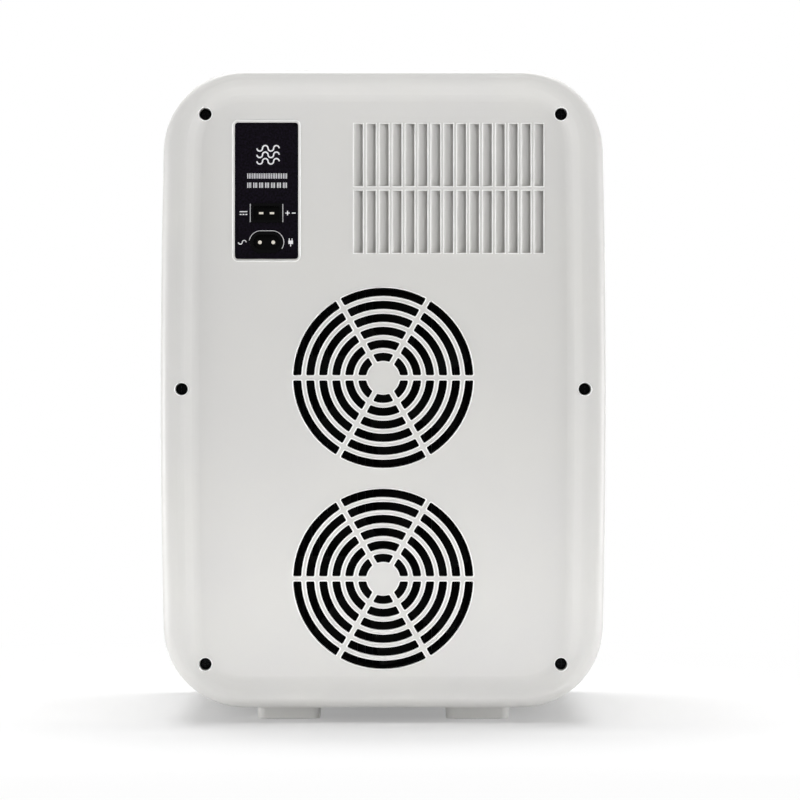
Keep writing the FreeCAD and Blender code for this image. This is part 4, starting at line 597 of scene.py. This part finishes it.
def take_border(source, test, name):
    """The border of the picked faces, copied to an object of its own as loose edges."""
    edit_only(source)
    pick(source, "FACE", test)
    bpy.ops.mesh.region_to_loop()
    bpy.ops.mesh.duplicate()
    bpy.ops.mesh.separate(type="SELECTED")
    bpy.ops.object.mode_set(mode="OBJECT")
    border = next(obj for obj in bpy.context.selected_objects if obj is not source)
    border.name = name
    return border


cover_copy = start_piece("cover copy", "rear_cover")
bpy.ops.object.mode_set(mode="OBJECT")
beads = take_border(cover_copy, lambda face: face.normal.y > 0.999
                    and abs(face.center.y - FIELD_Y) < SAME * MM, "opening_beads")
rings = take_border(cover_copy, lambda face: WELL_RADIUS + 0.005 < from_well(face.center)
                    < MOUTH_RADIUS and face.center.y > MOUTH_LOW, "well rings")
bpy.data.objects.remove(cover_copy)
print("loose edges:", len(beads.data.edges), len(rings.data.edges))

# %% Throw away the outermost loop, keep one ring for each well, and make all of them round
outermost = max(point.co.x for point in beads.data.vertices)
edit_only(beads)
pick(beads, "VERT", lambda point: point.co.x == outermost)
bpy.ops.mesh.select_linked()
bpy.ops.mesh.delete(type="VERT")
bpy.ops.object.mode_set(mode="OBJECT")
edit_only(rings)
pick(rings, "VERT", lambda point: from_well(point.co) > WELL_RADIUS + 0.4)
bpy.ops.mesh.delete(type="VERT")
for x, z in WELLS:
    for side in (-1, 1):
        axis = Vector((x * side, 0, z)) * MM
        pick(rings, "VERT", lambda point: math.hypot(point.co.x - axis.x, point.co.z - axis.z)
             < MOUTH_RADIUS * MM)
        bpy.ops.transform.resize(value=(RING_WIDER, 1, RING_WIDER), center_override=axis)
bpy.ops.mesh.select_all(action="SELECT")
bpy.ops.transform.translate(value=(0, RING_RISE * MM, 0))     # up to the rounded mouth
bpy.ops.object.mode_set(mode="OBJECT")
bpy.ops.object.select_all(action="DESELECT")
rings.select_set(True)
beads.select_set(True)
bpy.context.view_layer.objects.active = beads
bpy.ops.object.join()
bpy.ops.object.convert(target="CURVE")
beads.data.bevel_depth = BEAD_RADIUS * MM
beads.data.bevel_resolution = 1
bpy.ops.object.convert(target="MESH")
beads = bpy.context.object
edit_only(beads)
close_piece(beads, bead_painted_highlight, "cabinet", 60)

# %% [markdown]
# ## Printed marks beside the inlets
# The black film carries white screen-printed marks. Ink is about a twentieth of a millimetre
# thick, so each mark is a flat shape that is extruded by that much. Three waves stand for the
# air that has to flow freely, two rows of short bars stand for the louvres, and the usual signs
# for direct and alternating current stand beside the inlets. All are generic signs, not words.
# The same piece also holds thin white lines round the two inlets. They are not print but painted
# highlights for the light that the inlets' rims catch.

# %% Waves of air, spun to and fro
INK = 0.05
film_y = panel_high.y / MM
film_x = middle("inlet_panel").x / MM
dc_x, _, dc_z = middle("dc_inlet") / MM
ac_x, _, ac_z = middle("ac_inlet") / MM


def wave(obj, start_x, z, reach, width, arcs):
    """A line of half circles: the end of a short bar is spun round one centre after another."""
    bar((start_x, film_y, z - 0.15), width, 0.3)
    pick(obj, "VERT", lambda point: abs(point.co.z / MM - z) < SAME
         and abs(point.co.x / MM - start_x) < width)
    for k in range(arcs):
        centre = Vector((start_x - reach * (2 * k + 1), film_y, z)) * MM
        bpy.ops.mesh.spin(steps=8, angle=math.radians(180 if k % 2 else -180), center=centre,
                          axis=(0, 1, 0))


marks = start_piece("inlet_panel_marks")
WAVE_TOP, WAVE_PITCH = 371.8, 4.2
for row in range(3):
    wave(marks, film_x + 6.2, WAVE_TOP - WAVE_PITCH * row, 1.8, 0.9, 4)
print("points with the waves:", points(marks))

# %% Two rows of louvre bars, in groups of three
BARS_LEFT = 12.2
for groups, group_pitch, bar_pitch, row_z in ((8, 3.3, 1.05, 353.9), (7, 3.85, 1.0, 347.9)):
    for group in range(groups):
        for k in range(3):
            bar((film_x + BARS_LEFT - group_pitch * group - bar_pitch * k, film_y, row_z), 0.5, 3.4)
print("points with the louvre bars:", points(marks))

# %% Signs for direct current, plus and minus, alternating current and a plug
LEFT, RIGHT = film_x + 14.9, film_x - 15.6
STROKE = 0.65                    # how wide the lines of a sign are
bar((LEFT, film_y, dc_z + 0.9), 5.0, STROKE)
for k in (-1, 0, 1):
    bar((LEFT + 1.85 * k, film_y, dc_z - 0.9), 1.25, STROKE)
bar((RIGHT + 2.0, film_y, dc_z), 2.8, STROKE)
for side in (-1, 1):
    bar((RIGHT + 2.0, film_y, dc_z + 0.9 * side), STROKE, 1.15)
bar((RIGHT - 2.0, film_y, dc_z), 2.4, STROKE)
wave(marks, LEFT + 3.3, ac_z, 1.25, STROKE, 2)
bar((RIGHT, film_y, ac_z), 3.0, 2.2)
for side in (-1, 1):
    bar((RIGHT + 0.9 * side, film_y, ac_z + 1.8), 0.6, 1.4)
bar((RIGHT, film_y, ac_z - 1.9), 0.6, 1.6)
print("points with the signs:", points(marks))

# %% Painted highlights for the light on the inlets' rims: a thin white line beside the direct-current inlet, and one over the round ends of the other
# painted highlight: these white lines stand in for the light caught by the rims of the inlets
RIM_HIGHLIGHT, RIM_HIGHLIGHT_GAP = 0.45, 0.25
dc_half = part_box("dc_inlet")[1].x / MM - dc_x
for side in (-1, 1):
    bar((dc_x + (dc_half + RIM_HIGHLIGHT_GAP) * side, film_y, dc_z), RIM_HIGHLIGHT, 11.8)
ac_low, ac_high = (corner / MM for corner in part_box("ac_inlet"))
ac_radius = (ac_high.z - ac_low.z) / 2
end_x = (ac_high.x - ac_low.x) / 2 - ac_radius     # where each round end has its centre
rim_highlight_z = ac_z + ac_radius + RIM_HIGHLIGHT_GAP
bar((ac_x, film_y, rim_highlight_z), 2 * end_x, RIM_HIGHLIGHT)
for side, sweep in ((1, 80), (-1, 125)):
    pick(marks, "VERT", lambda point: abs(point.co.x / MM - ac_x - end_x * side) < SAME
         and abs(point.co.z / MM - rim_highlight_z) < RIM_HIGHLIGHT)
    bpy.ops.mesh.spin(steps=12, angle=math.radians(-sweep * side),
                      center=Vector((ac_x + end_x * side, film_y, ac_z)) * MM, axis=(0, 1, 0))
thicken((0, INK, 0))
# this white draws both the printed signs and the painted highlights beside the inlets
ink_and_painted_highlight = moulded_plastic("white screen-printing ink, also painted highlights", "#F4F4F6", "#E4E4E8", 0.7, 0.004,
                            0.5, 0.6)
close_piece(marks, ink_and_painted_highlight, "cabinet")

# %% [markdown]
# ## Signs on the buttons
# Each button cap has one small sign, printed and worn smooth: a broken ring with a bar for
# power, a six-armed flake for the cooling mode and two triangles for the setting. They lie on
# top of the caps, so each is a piece of its own that rides on its button and moves with it.

# %% Power: an arc of 290 degrees and a bar
def top_of(node):
    """The middle of a node's top face, in millimetres."""
    spot = middle(node) / MM
    return spot.x, spot.y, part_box(node)[1].z / MM


x, y, z = top_of("power_button")
sign = start_piece("power_button_sign")
bar((x, y + 1.7, z), 0.7, 2.8, "Z")
bar((x, y - 2.6, z), 0.02, 0.7, "Z")
for side in (1, -1):
    pick(sign, "VERT", lambda point: point.co.y / MM < y - 2.0
         and (point.co.x / MM - x) * side > 0)
    bpy.ops.mesh.spin(steps=10, angle=math.radians(145) * side, center=Vector((x, y, z)) * MM,
                      axis=(0, 0, 1))
thicken((0, 0, INK))
close_piece(sign, ink_and_painted_highlight, "power_button")

# %% Cooling mode: one arm with two barbs, spun round in six copies
x, y, z = top_of("mode_button")
sign = start_piece("mode_button_sign")
bar((x, y + 1.8, z), 0.5, 2.8, "Z")
bar((x, y + 2.2, z), 1.9, 0.45, "Z")
bpy.ops.mesh.select_all(action="SELECT")
bpy.ops.mesh.spin(steps=5, dupli=True, angle=math.radians(300), center=Vector((x, y, z)) * MM,
                  axis=(0, 0, 1))
thicken((0, 0, INK))
close_piece(sign, ink_and_painted_highlight, "mode_button")

# %% Setting: two triangles, each a bar whose far edge is closed to a point
x, y, z = top_of("set_button")
sign = start_piece("set_button_sign")
for side in (-1, 1):
    bar((x, y + 1.9 * side, z), 3.6, 2.2, "Z")
    tip = y + 3.0 * side
    pick(sign, "VERT", lambda point: abs(point.co.y / MM - tip) < SAME)
    bpy.ops.mesh.merge(type="CENTER")
thicken((0, 0, INK))
close_piece(sign, ink_and_painted_highlight, "set_button")

# %% [markdown]
# ## The figures under the display window
# The window hides a two-figure display that shows the temperature. Each figure has seven
# light-emitting segments, so one bar is laid for each that is lit, three places for a lying bar
# and four for an upright one. The glow is faint, as it is behind smoked acrylic.

# %% Two seven-segment figures on the display block
def glowing(name, colour, strength):
    """A diffused light-emitting segment: it glows, and its plastic still shows a grain."""
    material, tree, shader = new_finish(name, colour, 0.4)
    vary(tree, shader, speckle(tree, 0.8), tints=(colour, "#FFFFFF"))
    shader.inputs["Emission Color"].default_value = linear(colour)
    shader.inputs["Emission Strength"].default_value = strength
    return material


lit_segment = glowing("ice-blue diffused segment", "#9FD8FF", 4.0)
SEGMENT_DEPTH, SEGMENT_GAP = 0.2, 0.05
block_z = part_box("control_board")[1].z / MM + SEGMENT_GAP
window = middle("display_window") / MM
figures = start_piece("display_figures")
HALF, LONG, THICK = 1.9, 3.2, 0.7        # of a segment: its reach from the centre, and its sides
FIGURE_SHIFT = 3.6
lying = {"top": (0, 2 * HALF), "centre": (0, 0), "bottom": (0, -2 * HALF)}
upright = {"high right": (HALF, HALF), "low right": (HALF, -HALF),
           "low left": (-HALF, -HALF), "high left": (-HALF, HALF)}
dark = {"0": ["centre"], "5": ["high right", "low left"]}
for digit, shift in (("0", -FIGURE_SHIFT), ("5", FIGURE_SHIFT)):
    for group, size in ((lying, (LONG, THICK)), (upright, (THICK, LONG))):
        for name, (across, along) in group.items():
            if name not in dark[digit]:
                bar((window.x + shift + across, window.y + along, block_z), *size, "Z")
thicken((0, 0, SEGMENT_DEPTH))
close_piece(figures, lit_segment, "cabinet")

# %% [markdown]
# ## The door gasket
# A fridge gasket is an extruded vinyl tube that folds like a bellows when the door closes. The
# CAD ring has the right size and the groove for its magnets, but flat sides. A copy of it is cut
# into bands along its depth, and every second cut is drawn in a little, which makes the folds.

# %% Cut the ring into bands and draw in every second cut
gasket = start_piece("door_gasket_bellows", "door_gasket")
ring_low, ring_high = (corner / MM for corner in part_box("door_gasket"))
FIRST_CUT, CUT_PITCH, FOLD = 0.7, 0.65, 0.6
cuts = [ring_low.y + FIRST_CUT + CUT_PITCH * k for k in range(7)]
for cut in cuts:
    bpy.ops.mesh.select_all(action="SELECT")
    bpy.ops.mesh.bisect(plane_co=(0, cut * MM, 0), plane_no=(0, 1, 0))
for cut in cuts[1::2]:
    pick(gasket, "VERT", lambda point: abs(point.co.y / MM - cut) < SAME
         and (abs(point.co.x / MM) > ring_high.x - 1 or point.co.z / MM > ring_high.z - 1
              or point.co.z / MM < ring_low.z + 1))
    ring_middle = (0, cut * MM, (ring_low.z + ring_high.z) / 2 * MM)
    bpy.ops.transform.resize(value=(1 - FOLD / ring_high.x, 1,
                                    1 - 2 * FOLD / (ring_high.z - ring_low.z)),
                             center_override=ring_middle)
close_piece(gasket, white_vinyl, "door", 25)
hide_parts("door_gasket")

# %% Import json
import json
